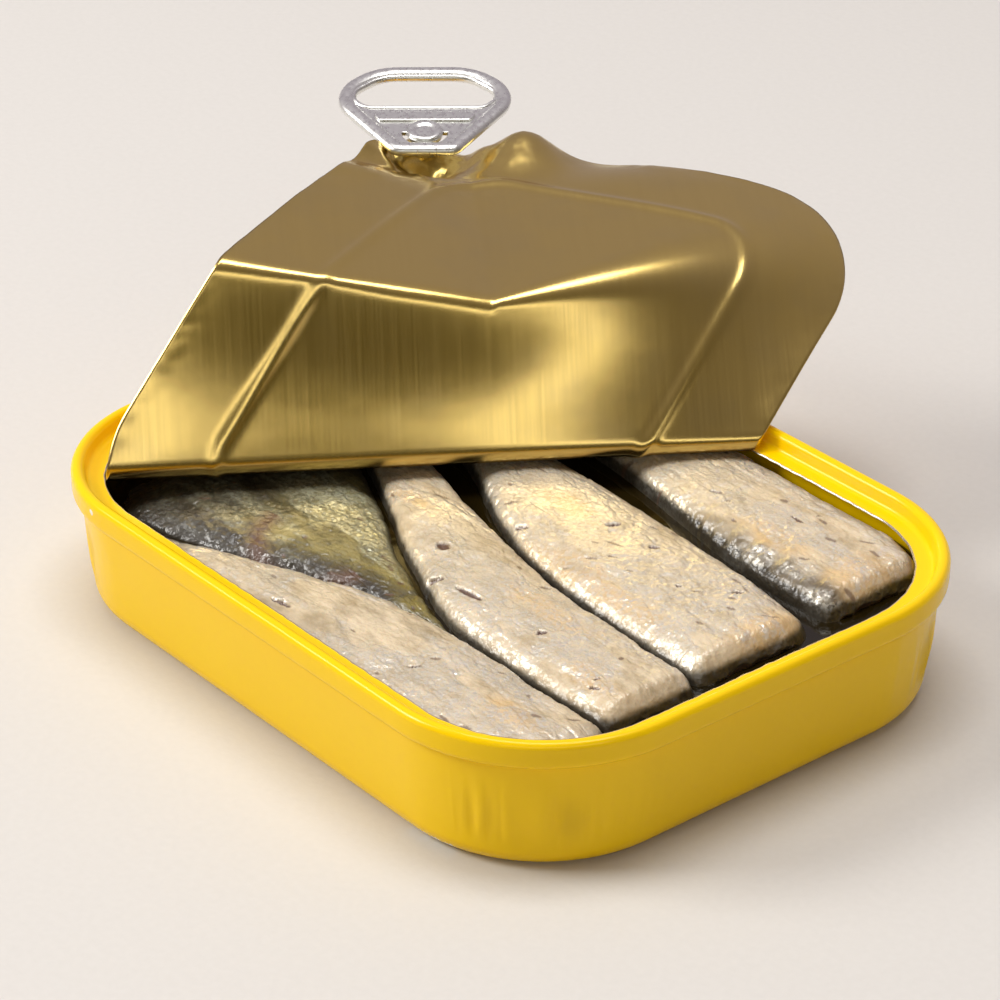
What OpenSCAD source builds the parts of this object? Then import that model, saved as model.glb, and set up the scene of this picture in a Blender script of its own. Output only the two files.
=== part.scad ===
// Opened fish can: a drawn body, the seamed end with its torn ledge, the lid peeled back from one
// corner, its pull tab, five fish lying side by side and the oil between them.
// The can stands on z = 0 with its long sides along X. The lid was peeled from the (+X, -Y) corner.

/* [Can] */
// Length over the seam
can_l = 105; // [88:1:126]
// Width over the seam
can_w = 82; // [69:1:98]
// Height to the top of the seam
can_h = 19; // [16:0.5:26]
// Corner radius over the seam
corner_r = 22.5; // [19:0.5:27]
// Thickness of the body metal
wall_t = 0.3; // [0.25:0.05:0.4]
// How far the foot of the wall lies inside the seam
foot_in = 2.3; // [1.9:0.1:3]
// Radius between the wall and the foot
foot_r = 3; // [2:0.5:4]
// Width of the flat ring that the can stands on
stand_w = 1; // [0.6:0.2:2]
// Height of the raised floor above the ground
floor_rise = 0.6; // [0.3:0.1:1]

/* [End ring] */
// Thickness of the seam, measured across
seam_t = 1.8; // [1.7:0.1:2.2]
// Height of the seam
seam_h = 3.5; // [3:0.1:4.2]
// Length of body wall that is rolled into the seam
hook_h = 2.2; // [1.8:0.1:2.6]
// Metal outside the body wall in the seam
hook_t = 1.25; // [1.1:0.05:1.3]
// Depth of the ledge below the top of the seam
ledge_drop = 2.1; // [1.8:0.1:3]
// Distance from the outside of the seam to the torn edge
ledge_in = 4.5; // [4:0.1:6]
// Thickness of the end metal
end_t = 0.3; // [0.25:0.05:0.4]

/* [Lid] */
// Where the fold crosses the front long edge, from the middle, as a share of the half length
fold_front = -0.8125; // [-0.85:0.01:-0.7]
// Where the fold crosses the back long edge, as a share of the half length
fold_back = 0.125; // [0:0.01:0.25]
// Radius of the fold
fold_r = 2; // [1.5:0.25:4]
// Lean of the lid above the fold at its front edge
lean_front = 117; // [100:1:130]
// Lean of the lid above the fold half way along
lean_mid = 114; // [100:1:130]
// Lean of the lid above the fold at its back edge
lean_back = 139; // [110:1:150]
// Slope of the panel above the crease at the front edge
top_front = 165; // [150:1:180]
// Slope of the panel above the crease half way along
top_mid = 176; // [160:1:185]
// Slope of the panel above the crease at the back edge
top_back = 175; // [160:1:190]
// Distance from the fold to the crease at the front edge
crease_front = 31.7; // [27:0.5:34]
// Distance from the fold to the crease at its innermost point
crease_mid = 22.5; // [19:0.5:26]
// Distance from the fold to the middle of the soft bend at the back edge
crease_back = 30.5; // [25:0.5:34]
// Half width of the soft bend at the back edge
crease_soft = 8.5; // [6:0.5:11]
// Further bend of the panel towards the peeled corner, at the front edge
droop_front = 11; // [0:1:20]
// Further bend of the panel towards the peeled corner, at the back edge
droop_back = 20; // [0:1:30]
// Depth of the dip that the tab has pulled into the corner
dip_depth = 2.4; // [1:0.2:4]
// Half width of that dip
dip_w = 3.5; // [3:0.5:6]
// Height of the edge that the tab holds up behind the dip
edge_lift = 2.6; // [2:0.1:2.8]
// Height of the bulge on the front side of the dip
bulge_front = 1.2; // [0.5:0.1:2.5]
// Height of the bulge on the back side of the dip
bulge_back = 5.2; // [1:0.1:6]

/* [Pull tab] */
// Width of the tab across its ring
tab_w = 26; // [22:1:30]
// Length of the tab from nose to ring
tab_l = 21.4; // [19:0.2:25]
// Thickness of the tab with its rolled edge
tab_t = 1.6; // [1.2:0.1:2]
// Width of the rolled edge
tab_edge = 2.3; // [1.8:0.1:3]
// Corner radius at the end of the ring
ring_r = 8; // [5:0.1:8.2]
// Corner radius at the sides of the ring
shoulder_r = 7; // [4:0.1:7.2]
// Width of the nose
nose_w = 9; // [7:0.5:11]
// Diameter of the rivet
rivet_d = 3.6; // [3:0.2:5]

/* [Fish and oil] */
// Space left between neighbouring fish
fish_gap = 0.2; // [0.1:0.05:0.5]
// Space between the fish and the wall of the can
wall_gap = 0.4; // [0.3:0.1:1]
// Level of the oil, as a share of the depth under the lid
oil_fill = 0.74; // [0.5:0.01:0.8]
// Crest of each fish, as a share of the depth under the lid
fish_crest = [0.93, 0.9, 0.94, 0.96, 0.97];
// Where each fish begins at the -X end, as a share of the inner half length
fish_start = [-0.78, -0.88, -0.84, -0.82, -0.80];
// Where each fish ends at the +X end, as a share of the inner half length
fish_end = [0.93, 0.30, 0.88, 0.86, 0.84];
// Sharpness of the taper at the -X end of each fish
start_taper = [0.55, 0.16, 0.35, 0.3, 0.3];
// Sharpness of the taper at the +X end of each fish
end_taper = [0.05, 0.55, 0.03, 0.03, 0.03];

/* [Hidden] */
$fn = 96;

ledge_z = can_h - ledge_drop;
floor_z = floor_rise + wall_t;
room_h = ledge_z - end_t - floor_z;
half_l = can_l / 2;
half_w = can_w / 2;
center_x = half_l - corner_r;
center_y = half_w - corner_r;
panel_x = half_l - ledge_in;
panel_y = half_w - ledge_in;
panel_r = corner_r - ledge_in;

function mix(a, b, t) = a + (b - a) * t;
function smooth(t) = let (c = min(max(t, 0), 1)) c * c * (3 - 2 * c);
function bump(t) = exp(-t * t);
function curve(a, m, b, t) = mix(a, b, t) + (m - (a + b) / 2) * 4 * t * (1 - t);

// Arc in a wall section, from one angle to the other
function section_arc(cx, cz, r, from, to, steps = 6) =
    [for (k = [0 : steps]) let (a = mix(from, to, k / steps)) [cx - r * cos(a), cz + r * sin(a)]];

// A wall section carried round the can. Its x is the distance in from the outside of the seam.
module carry_round(section) {
    outline = [for (p = section) [corner_r - p.x, p.y]];
    for (sx = [0, 1], sy = [0, 1])
        mirror([sx, 0, 0]) mirror([0, sy, 0])
            translate([center_x, center_y, 0]) rotate_extrude(angle = 90) polygon(outline);
    for (side = [0, 180]) {
        rotate(side) translate([center_x, 0, 0])
            rotate([90, 0, 0]) linear_extrude(2 * center_y, center = true) polygon(outline);
        rotate(side) translate([0, center_y, 0]) rotate(90)
            rotate([90, 0, 0]) linear_extrude(2 * center_x, center = true) polygon(outline);
    }
}

// Rounded rectangle, a given distance inside the seam
module inset_plate(inset) {
    square([2 * center_x, 2 * (half_w - inset)], center = true);
    square([2 * (half_l - inset), 2 * center_y], center = true);
    for (sx = [-1, 1], sy = [-1, 1])
        translate([sx * center_x, sy * center_y]) circle(corner_r - inset);
}

// ---- Drawn body -------------------------------------------------------------------------------

rise_w = 1;
plate_lap = 1;
shoulder_drop = 1;
stand_end = foot_in + foot_r + stand_w;
rise_end = stand_end + rise_w;
plate_in = rise_end + plate_lap;
seam_foot = can_h - seam_h;

body_section = concat(
    [[hook_t, seam_foot + hook_h], [hook_t, seam_foot - shoulder_drop]],
    section_arc(foot_in + foot_r, foot_r, foot_r, 0, -90),
    [[stand_end, 0], [rise_end, floor_rise], [plate_in, floor_rise], [plate_in, floor_z],
     [rise_end - wall_t / 2, floor_z], [stand_end - wall_t / 2, wall_t]],
    section_arc(foot_in + foot_r, foot_r, foot_r - wall_t, -90, 0),
    [[hook_t + wall_t, seam_foot - shoulder_drop], [hook_t + wall_t, seam_foot + hook_h]]);

module tin_body() {
    color("gold") {
        carry_round(body_section);
        translate([0, 0, floor_rise]) linear_extrude(wall_t) inset_plate(plate_in);
    }
}

// ---- End ring: double seam, chuck wall and torn ledge ------------------------------------------

seam_round = seam_t / 2;
chuck_foot = 0.8;
chuck_bend = 0.35;
chuck_top = 0.15;
bend_rise = 0.15;
chuck_rise = 0.5;
seam_chamfer = 0.3;

ring_section = concat(
    [[hook_t, seam_foot], [hook_t, seam_foot + hook_h], [hook_t + wall_t, seam_foot + hook_h],
     [hook_t + wall_t, ledge_z - end_t], [ledge_in, ledge_z - end_t], [ledge_in, ledge_z],
     [seam_t + chuck_foot, ledge_z], [seam_t + chuck_bend, ledge_z + bend_rise],
     [seam_t + chuck_top, ledge_z + chuck_rise]],
    section_arc(seam_round, can_h - seam_round, seam_round, 180, 0, 10),
    [[0, seam_foot + seam_chamfer], [seam_chamfer, seam_foot]]);

module end_ring() {
    color("gold") carry_round(ring_section);
}

// ---- Lid: flat where it still holds, bent up along the fold, creased and pulled in at the corner --

lid_step = 0.5;
tip_trim = 0.999;

fold_front_in = 5.5;
fold_back_past = [1, 1.5];
fold_start = [fold_front * panel_x, -panel_y + fold_front_in];
fold_end = [fold_back * panel_x, panel_y] + fold_back_past;
fold_span = norm(fold_end - fold_start);
fold_over = 1.08;
fold_whole = fold_over * fold_span;
along = (fold_end - fold_start) / fold_span;
out = [along.y, -along.x];
corner_pt = [panel_x - panel_r, -panel_y + panel_r] + panel_r * out;
back_pt = [-panel_x + panel_r, panel_y - panel_r] - panel_r * out;
lid_back = (fold_start - back_pt) * out;
lid_reach = (corner_pt - fold_start) * out;
corner_a = (corner_pt - fold_start) * along;
tab_off = 6;
tab_a = corner_a - tab_off;

// How far inside the panel's outline a point lies, negative outside
function inside(p) =
    let (qx = abs(p.x) - panel_x + panel_r, qy = abs(p.y) - panel_y + panel_r)
    (qx > 0 && qy > 0) ? panel_r - norm([qx, qy]) : panel_r - max(qx, qy);

// The point where a line across the panel leaves it, found by halving
function leave(p, d, near, far, n = 22) =
    n == 0 ? near :
    let (m = (near + far) / 2)
    inside(p + d * m) > 0 ? leave(p, d, m, far, n - 1) : leave(p, d, near, m, n - 1);

// Half width of the hard part of the crease, the places of the further bend as shares of the lid's
// reach, and the length over which the lid makes it
crease_hard = 0.8;
droop_at_front = 0.8;
droop_at_back = 0.64;
droop_len = 12;
crease_from = -5;

// Slope of the lid at a distance s from the fold and a place a along it
function crease_at(a) =
    a < corner_a ? mix(crease_front, crease_mid, max(a, crease_from) / corner_a)
                 : mix(crease_mid, crease_back, (a - corner_a) / (fold_whole - corner_a));
function softness_at(a) =
    a < corner_a ? crease_hard : mix(crease_hard, crease_soft, (a - corner_a) / (fold_whole - corner_a));
function slope(s, a) =
    let (t = a / fold_whole,
         lean = curve(lean_front, lean_mid, lean_back, t),
         top = curve(top_front, top_mid, top_back, t),
         w = softness_at(a))
    lean * smooth(s / (2 * fold_r)) + (top - lean) * smooth((s - crease_at(a) + w) / (2 * w))
    + mix(droop_front, droop_back, t)
      * smooth((s - mix(droop_at_front, droop_at_back, t) * lid_reach) / droop_len);

// Distance gone out and up from the fold when the slope is followed as far as s
function gone(s, a) =
    let (n = max(round(s / lid_step), 1), h = s / n, one = [for (k = [1 : n]) 1])
    s < 0 ? [s, 0] :
    [one * [for (k = [0.5 : n]) cos(slope(k * h, a)) * h],
     one * [for (k = [0.5 : n]) sin(slope(k * h, a)) * h]];

// What the tab has pulled into the peeled corner, as a push across the sheet: a dip, the lifted
// edge behind it, and a bulge on each side. Each pair is the distance back from the corner's edge, or
// along the fold from the tab, and the half width there.
bulge_row = [6, 5.5];
dip_row = [7, 2.6];
lift_row = [6.5, 4];
lift_wider = 2;
front_bulge_place = [-9.5, 4.2];
back_bulge_place = [14, 6];

function corner_push(s, a) =
    let (e = a - tab_a, back = lid_reach - s, dome = bump((back - bulge_row[0]) / bulge_row[1]))
    dip_depth * bump(e / dip_w) * bump((back - dip_row[0]) / dip_row[1])
    - edge_lift * bump(e / (dip_w + lift_wider)) * smooth((lift_row[0] - back) / lift_row[1])
    - dome * (bulge_front * bump((e - front_bulge_place[0]) / front_bulge_place[1])
              + bulge_back * bump((e - back_bulge_place[0]) / back_bulge_place[1]));

// A point of the lid's sheet. depth runs through the metal, 0 at its outer face.
function lid_point(s, a, depth) =
    let (g = gone(s, a), th = slope(s, a), push = depth - corner_push(s, a))
    concat(fold_start + along * a + out * (g.x + push * sin(th)), ledge_z + g.y - push * cos(th));

// Rows of the sheet run from the corner that still holds, over the fold, to the peeled corner
flat_rows = 8;
bent_rows = 30;
lid_rows = flat_rows + bent_rows;
lid_columns = 12;
row_crowding = 0.9;
search_far = 90;
lid_row_at = concat(
    [for (k = [0 : flat_rows - 1]) -lid_back * (1 - pow(sin(90 * k / flat_rows), 2)) ],
    [for (k = [0 : bent_rows]) lid_reach * sin(90 * pow(k / bent_rows, row_crowding))]);

function sheet_row(s, depth) =
    let (held = (corner_pt - fold_start) * along, far = (back_pt - fold_start) * along,
         mid_a = mix(far, held, (s + lid_back) / (lid_reach + lid_back)),
         start = fold_start + out * s + along * mid_a,
         a0 = mid_a - leave(start, -along, 0, search_far),
         a1 = mid_a + leave(start, along, 0, search_far))
    [for (j = [0 : lid_columns]) lid_point(s, mix(a0, a1, j / lid_columns), depth)];

module lid_sheet() {
    row = lid_columns + 1;
    count = row * (lid_rows + 1);
    quads = [for (i = [0 : lid_rows - 1], j = [0 : lid_columns - 1]) i * row + j];
    points = concat([for (s = lid_row_at) each sheet_row(s * tip_trim, 0)],
                    [for (s = lid_row_at) each sheet_row(s * tip_trim, end_t)]);
    faces = concat(
        [for (q = quads) each [[q, q + 1, q + row + 1], [q, q + row + 1, q + row]]],
        [for (q = quads) each [[count + q, count + q + row + 1, count + q + 1],
                               [count + q, count + q + row, count + q + row + 1]]],
        [for (j = [0 : lid_columns - 1]) let (q = j, r = lid_rows * row + j)
            each [[q, count + q, count + q + 1], [q, count + q + 1, q + 1],
                  [r, count + r + 1, count + r], [r, r + 1, count + r + 1]]],
        [for (i = [0 : lid_rows - 1]) let (q = i * row, r = i * row + lid_columns)
            each [[q, q + row, count + q + row], [q, count + q + row, count + q],
                  [r, count + r + row, r + row], [r, count + r, count + r + row]]]);
    polyhedron(points, faces, convexity = 10);
}

module lid() {
    color("darkkhaki") {
        lid_sheet();
        rivet();
    }
}

// ---- Pull tab and rivet -------------------------------------------------------------------------

// Lengths of the tab, measured from its nose
rivet_at = 4.9;
hole_at = 11;
panel_t = 0.7;
edge_round = 0.4;
tongue_w = 6.4;
slit_w = 0.7;
nose_r = 2;
shoulder_out = 1.2;
shoulder_y = tab_l * 0.68;
ring_end_x = tab_w * 0.27;
hole_rim = tab_edge * 1.2;
least_r = 0.3;
band_share = 0.62;
band_below = 3.4;
band_h = 2;
band_t = 0.4;
tab_low = (tab_t - panel_t) / 2;

function unit(v) = v / norm(v);

// Outline with its corners rounded. Each corner is [x, y, radius], in anticlockwise order.
function rounded(corners, steps = 8) =
    let (n = len(corners))
    [for (i = [0 : n - 1])
        let (p = [corners[i].x, corners[i].y], r = corners[i][2],
             before = corners[(i + n - 1) % n], after = corners[(i + 1) % n],
             u = unit([before.x, before.y] - p), v = unit([after.x, after.y] - p),
             half = acos(u * v) / 2, mid = p + unit(u + v) * r / sin(half),
             first = atan2(p.y + u.y * r / tan(half) - mid.y, p.x + u.x * r / tan(half) - mid.x))
        for (k = [0 : steps])
            let (t = first + (180 - 2 * half) * k / steps)
            mid + r * [cos(t), sin(t)]];

// The same corners moved inwards by d
function shrunk(corners, d) =
    let (n = len(corners))
    [for (i = [0 : n - 1])
        let (p = [corners[i].x, corners[i].y],
             before = corners[(i + n - 1) % n], after = corners[(i + 1) % n],
             u = unit([before.x, before.y] - p), v = unit([after.x, after.y] - p),
             q = p + (u + v) * d / abs(u.x * v.y - u.y * v.x))
        [q.x, q.y, max(corners[i][2] - d, least_r)]];

tab_corners = [[-nose_w / 2, 0, nose_r], [nose_w / 2, 0, nose_r],
               [tab_w / 2 + shoulder_out, shoulder_y, shoulder_r], [ring_end_x, tab_l, ring_r],
               [-ring_end_x, tab_l, ring_r], [-tab_w / 2 - shoulder_out, shoulder_y, shoulder_r]];
hole_half = nose_w / 2 + (tab_w - nose_w) / 2 * hole_at / shoulder_y - hole_rim;
ring_inside = shrunk(tab_corners, tab_edge);
hole_r = 2.4;
hole_shoulder_r = 2.8;
hole_corners = [[-hole_half, hole_at, hole_r], [hole_half, hole_at, hole_r],
                [ring_inside[2].x, ring_inside[2].y, hole_shoulder_r], ring_inside[3], ring_inside[4],
                [ring_inside[5].x, ring_inside[5].y, hole_shoulder_r]];

// Layer of the rolled edge, moved in by d
module edge_layer(z, h, d) {
    translate([0, 0, z]) linear_extrude(h) difference() {
        polygon(rounded(shrunk(tab_corners, d)));
        polygon(rounded(shrunk(tab_corners, tab_edge - d)));
    }
}

module tongue_slit() {
    difference() {
        translate([0, rivet_at]) circle(tongue_w / 2);
        translate([0, rivet_at]) circle(tongue_w / 2 - slit_w);
        translate([-tongue_w, rivet_at]) square([2 * tongue_w, tongue_w]);
    }
}

module tab_flat() {
    edge_layer(0, edge_round, edge_round);
    edge_layer(edge_round, tab_t - 2 * edge_round, 0);
    edge_layer(tab_t - edge_round, edge_round, edge_round);
    translate([0, 0, tab_low]) linear_extrude(panel_t) difference() {
        polygon(rounded(shrunk(tab_corners, tab_edge / 2)));
        polygon(rounded(hole_corners));
        tongue_slit();
        translate([0, rivet_at]) circle(d = rivet_d);
    }
    translate([0, 0, tab_low + panel_t]) linear_extrude(band_t)
        translate([-hole_half * band_share, hole_at - band_below])
            square([2 * hole_half * band_share, band_h]);
}

// Puts the tab's own frame, nose at the origin and ring towards +Y, at the peeled corner. The tab is
// placed from the point of the sheet that its rivet stands on, so the two stay together.
tab_turn = -5;
tab_rise = 10;
tab_above = 1.95;
rivet_back = 3.6;
rivet_side = 0.4;
rivet_base = lid_point(lid_reach - rivet_back, tab_a + rivet_side, 0);
tab_heading = atan2(-out.y, -out.x) - 90 + tab_turn;

module at_corner() {
    translate(rivet_base + [0, 0, tab_above]) rotate([0, 0, tab_heading]) rotate([tab_rise, 0, 0])
        translate([0, -rivet_at, 0]) children();
}

module pull_tab() {
    color("silver") at_corner() tab_flat();
}

// The rivet is drawn up out of the lid's own metal, through the tab
rivet_head_t = 0.5;
rivet_head_out = 0.6;
rivet_sink = 0.15;
rivet_foot = tab_above + tab_low + rivet_sink;

module rivet() {
    at_corner() translate([0, rivet_at, tab_low]) {
        translate([0, 0, -rivet_foot]) cylinder(h = panel_t + rivet_foot, d = rivet_d);
        translate([0, 0, panel_t]) cylinder(h = rivet_head_t, d = rivet_d + 2 * rivet_head_out);
    }
}

// ---- Fish ------------------------------------------------------------------------------------------

fish_rows = 18;
fish_sides = 16;
boxy = 0.46;
in_x = half_l - foot_in - wall_t - wall_gap;
in_y = half_w - foot_in - wall_t - wall_gap;
in_r = corner_r - foot_in - wall_t - wall_gap;

// Inner half width of the can at x
function wall_at(x) =
    let (past = max(abs(x) - (in_x - in_r), 0))
    in_y - in_r + sqrt(max(in_r * in_r - past * past, 0));

// Side lines of the fish, as shares of the inner half width at a share u of the half length. Each
// line moves from its first share to its second over its third, from line_start on.
line_start = -0.85;
line_12 = [-0.90, -0.52, 1.12];
line_23 = [0.03, -0.52, 1.28];
line_34 = [0.19, -0.11, 1.44];
line_54 = [0.64, 0.47, 1];
line_54_start = -0.3;
gap_34 = [0.12, -0.45, 0.6];
line_45 = [0.48, 0.12];

function side(line, u, start = line_start) = mix(line[0], line[1], smooth((u - start) / line[2]));
function side_43(u) = side(line_34, u) + gap_34[0] * (1 - smooth((u - gap_34[1]) / gap_34[2]));
function low_side(k, u) =
    k == 0 ? -1 :
    k == 1 ? side(line_12, u) :
    k == 2 ? max(side(line_23, u), side(line_12, u)) :
    k == 3 ? side_43(u) : side(line_54, u, line_54_start);
function high_side(k, u) =
    k == 0 ? side(line_12, u) :
    k == 1 ? side(line_23, u) :
    k == 2 ? side(line_34, u) :
    k == 3 ? line_45[0] - line_45[1] * u * u : 1;

// Least width and height of a fish at its tips, as shares, and where its taper starts
tip_width = 0.3;
tip_height = 0.8;
tip_start = 0.02;
row_evenness = 0.6;

// One ring of points round fish k at share u, drawn in by the taper towards its ends
function fish_ring(k, t) =
    let (u = mix(fish_start[k], fish_end[k], t), x = u * in_x, wall = wall_at(x),
         length = (fish_end[k] - fish_start[k]),
         swell = sqrt(smooth(tip_start + t * length / (2 * start_taper[k])))
                 * sqrt(smooth(tip_start + (1 - t) * length / (2 * end_taper[k]))),
         lo = max(low_side(k, u) * in_y + fish_gap / 2, -wall),
         hi = min(high_side(k, u) * in_y - fish_gap / 2, wall),
         half = (hi - lo) / 2 * mix(tip_width, 1, swell),
         tall = room_h * fish_crest[k] / 2 * mix(tip_height, 1, swell))
    [for (j = [0 : fish_sides - 1])
        let (a = 360 * (j + 0.5) / fish_sides, c = cos(a), s = sin(a) / sin(90 - 180 / fish_sides))
        [x, (hi + lo) / 2 + half * sign(c) * pow(abs(c), boxy),
         floor_z + tall * (1 + sign(s) * pow(abs(s), boxy))]];

module sardine(k) {
    rings = [for (i = [0 : fish_rows])
        fish_ring(k, mix(smooth(i / fish_rows), i / fish_rows, row_evenness))];
    last = fish_rows * fish_sides;
    sides = [for (i = [0 : fish_rows - 1], j = [0 : fish_sides - 1])
        let (a = i * fish_sides + j, b = i * fish_sides + (j + 1) % fish_sides)
        each [[a, b + fish_sides, b], [a, a + fish_sides, b + fish_sides]]];
    ends = [[for (j = [0 : fish_sides - 1]) j], [for (j = [fish_sides - 1 : -1 : 0]) last + j]];
    color(k == 1 ? "darkolivegreen" : "tan")
        polyhedron([for (r = rings) each r], concat(sides, ends), convexity = 4);
}

// ---- Oil ---------------------------------------------------------------------------------------------

oil_lap = 1;
oil_z = floor_z + oil_fill * room_h;

oil_edge = mix(foot_in, hook_t, (oil_z - foot_r) / (seam_foot - shoulder_drop - foot_r)) + wall_t;
oil_section = concat(
    [[oil_edge, oil_z], [plate_in + oil_lap, oil_z], [plate_in + oil_lap, floor_z],
     [rise_end - wall_t / 2, floor_z], [stand_end - wall_t / 2, wall_t]],
    section_arc(foot_in + foot_r, foot_r, foot_r - wall_t, -90, 0));

module oil() {
    color("olive") difference() {
        union() {
            carry_round(oil_section);
            translate([0, 0, floor_z]) linear_extrude(oil_z - floor_z) inset_plate(plate_in + oil_lap);
        }
        for (k = [0 : len(fish_crest) - 1]) sardine(k);
    }
}

tin_body();
end_ring();
lid();
pull_tab();
sardine(0);  // sardine_1
sardine(1);  // sardine_2
sardine(2);  // sardine_3
sardine(3);  // sardine_4
sardine(4);  // sardine_5
oil();
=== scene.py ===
import math

import bpy
import numpy as np
from mathutils import Matrix, Vector


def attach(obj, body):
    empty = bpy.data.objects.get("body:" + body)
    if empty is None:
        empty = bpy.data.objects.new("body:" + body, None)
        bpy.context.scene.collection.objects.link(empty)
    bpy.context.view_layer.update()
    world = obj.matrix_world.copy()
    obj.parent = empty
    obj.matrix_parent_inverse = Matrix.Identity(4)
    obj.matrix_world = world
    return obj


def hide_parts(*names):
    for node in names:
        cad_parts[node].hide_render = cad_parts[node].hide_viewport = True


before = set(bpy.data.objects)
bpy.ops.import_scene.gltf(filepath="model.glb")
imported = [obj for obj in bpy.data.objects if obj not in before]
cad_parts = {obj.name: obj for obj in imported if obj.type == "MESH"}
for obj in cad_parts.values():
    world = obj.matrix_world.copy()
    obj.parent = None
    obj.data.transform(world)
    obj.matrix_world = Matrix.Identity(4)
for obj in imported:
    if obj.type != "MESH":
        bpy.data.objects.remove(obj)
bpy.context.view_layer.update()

MM = 0.001

# ---- Table top, light and camera -------------------------------------------------------------------
# A plain pale table top. One large soft lamp stands to the left of the can, a wide one hangs over it
# and a weak one fills from the right, as in a small product studio.

TABLE_TONE = (0.62, 0.60, 0.57)


def new_material(name):
    material = bpy.data.materials.new(name)
    material.use_nodes = True
    nodes = material.node_tree.nodes
    shader = nodes["Principled BSDF"]
    return material, material.node_tree, shader


def add_node(tree, kind, values=None, **settings):
    """A node with its settings, and with its inputs set, or wired to other nodes, by name or place."""
    node = tree.nodes.new(kind)
    for key, value in settings.items():
        setattr(node, key, value)
    for key, value in (values or {}).items():
        if isinstance(value, bpy.types.NodeSocket):
            tree.links.new(value, node.inputs[key])
        else:
            node.inputs[key].default_value = value
    return node


def set_shader(shader, **values):
    """Sets constants on a shader, each under its socket's name in small letters with underscores."""
    for key, value in values.items():
        name = key.replace("_", " ").title().replace("Ior", "IOR")
        shader.inputs[name].default_value = value


def link(tree, source, target):
    tree.links.new(source, target)
    return target


table_material, tree, shader = new_material("pale table top")
set_shader(shader, roughness=0.8)
spot = add_node(tree, "ShaderNodeTexCoord")
felt = add_node(tree, "ShaderNodeTexNoise",
                {"Scale": 900.0, "Detail": 3.0, "Vector": spot.outputs["Object"]})
shade = add_node(tree, "ShaderNodeMixRGB",
                 {1: (*TABLE_TONE, 1), 2: (0.66, 0.64, 0.61, 1), 0: felt.outputs["Fac"]})
link(tree, shade.outputs[0], shader.inputs["Base Color"])
felt_bump = add_node(tree, "ShaderNodeBump",
                     {"Strength": 0.15, "Distance": 0.0002, "Height": felt.outputs["Fac"]})
link(tree, felt_bump.outputs["Normal"], shader.inputs["Normal"])

TABLE_SIDE = 4.0
table_mesh = bpy.data.meshes.new("table_top")
half_side = TABLE_SIDE / 2
table_mesh.from_pydata([(-half_side, -half_side, 0), (half_side, -half_side, 0),
                        (half_side, half_side, 0), (-half_side, half_side, 0)], [], [(0, 1, 2, 3)])
table_top = bpy.data.objects.new("table_top", table_mesh)
bpy.context.collection.objects.link(table_top)
table_mesh.materials.append(table_material)


def soft_lamp(name, place, size, power, tone=(1, 1, 1), aim=(0, 0, 0.02)):
    """A square lamp of a given side, turned to face the can."""
    light = bpy.data.lights.new(name, "AREA")
    light.shape = "RECTANGLE"
    light.size, light.size_y = size
    light.energy = power
    light.color = tone
    lamp = bpy.data.objects.new(name, light)
    lamp.location = place
    lamp.rotation_euler = (Vector(aim) - Vector(place)).to_track_quat("-Z", "Y").to_euler()
    bpy.context.collection.objects.link(lamp)


soft_lamp("left_lamp", (-0.70, -0.80, 0.75), (0.50, 0.50), 12.0, (1.0, 0.98, 0.94))
soft_lamp("overhead_lamp", (-0.05, 0.05, 1.15), (0.80, 0.40), 8.0, (1.0, 0.99, 0.97))
soft_lamp("front_card", (0.66, -0.44, 0.47), (1.10, 0.12), 1.1, (1.0, 0.98, 0.95))

world = bpy.data.worlds.new("studio")
bpy.context.scene.world = world
world.use_nodes = True
tree = world.node_tree
backdrop = tree.nodes["Background"]
spot = add_node(tree, "ShaderNodeTexCoord")
toward = add_node(tree, "ShaderNodeVectorMath",
                  {1: (-0.70, 0.47, 0.35), 0: spot.outputs["Generated"]}, operation="DOT_PRODUCT")
room = add_node(tree, "ShaderNodeValToRGB")
room.color_ramp.elements[0].position, room.color_ramp.elements[0].color = 0.15, (0.10, 0.08, 0.02, 1)
room.color_ramp.elements[1].position, room.color_ramp.elements[1].color = 0.85, (0.46, 0.41, 0.45, 1)
swing = add_node(tree, "ShaderNodeMapRange", {1: -1.0, 2: 1.0, 0: toward.outputs["Value"]})
link(tree, swing.outputs[0], room.inputs["Fac"])
link(tree, room.outputs["Color"], backdrop.inputs["Color"])
backdrop.inputs["Strength"].default_value = 0.9

CAMERA_PLACE = (0.321693, -0.265936, 0.251286)
CAMERA_TURN, CAMERA_HEIGHT, CAMERA_ROLL = 50.45, 29.10, 0.15
lens = bpy.data.cameras.new("camera")
lens.sensor_width, lens.lens = 36.0, 135.378
lens.clip_start = 0.01
camera = bpy.data.objects.new("camera", lens)
bpy.context.collection.objects.link(camera)
turn, rise = math.radians(CAMERA_TURN), math.radians(CAMERA_HEIGHT)
back = Vector((math.sin(turn) * math.cos(rise), -math.cos(turn) * math.cos(rise), math.sin(rise)))
right = Vector((0, 0, 1)).cross(back).normalized()
up = back.cross(right)
roll = math.radians(CAMERA_ROLL)
right, up = right * math.cos(roll) + up * math.sin(roll), up * math.cos(roll) - right * math.sin(roll)
pose = camera.matrix_world.copy()
for row in range(3):
    pose[row][0], pose[row][1], pose[row][2] = right[row], up[row], back[row]
    pose[row][3] = CAMERA_PLACE[row]
camera.matrix_world = pose
bpy.context.scene.camera = camera
bpy.context.scene.view_settings.view_transform = "Standard"

# ---- Drawn body ------------------------------------------------------------------------------------
# The can's body is drawn from 0.3 mm sheet in one piece, with a rounded foot, a flat ring to stand on
# and a raised floor. It is painted glossy yellow before drawing, so the corners show fine draw folds.

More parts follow.
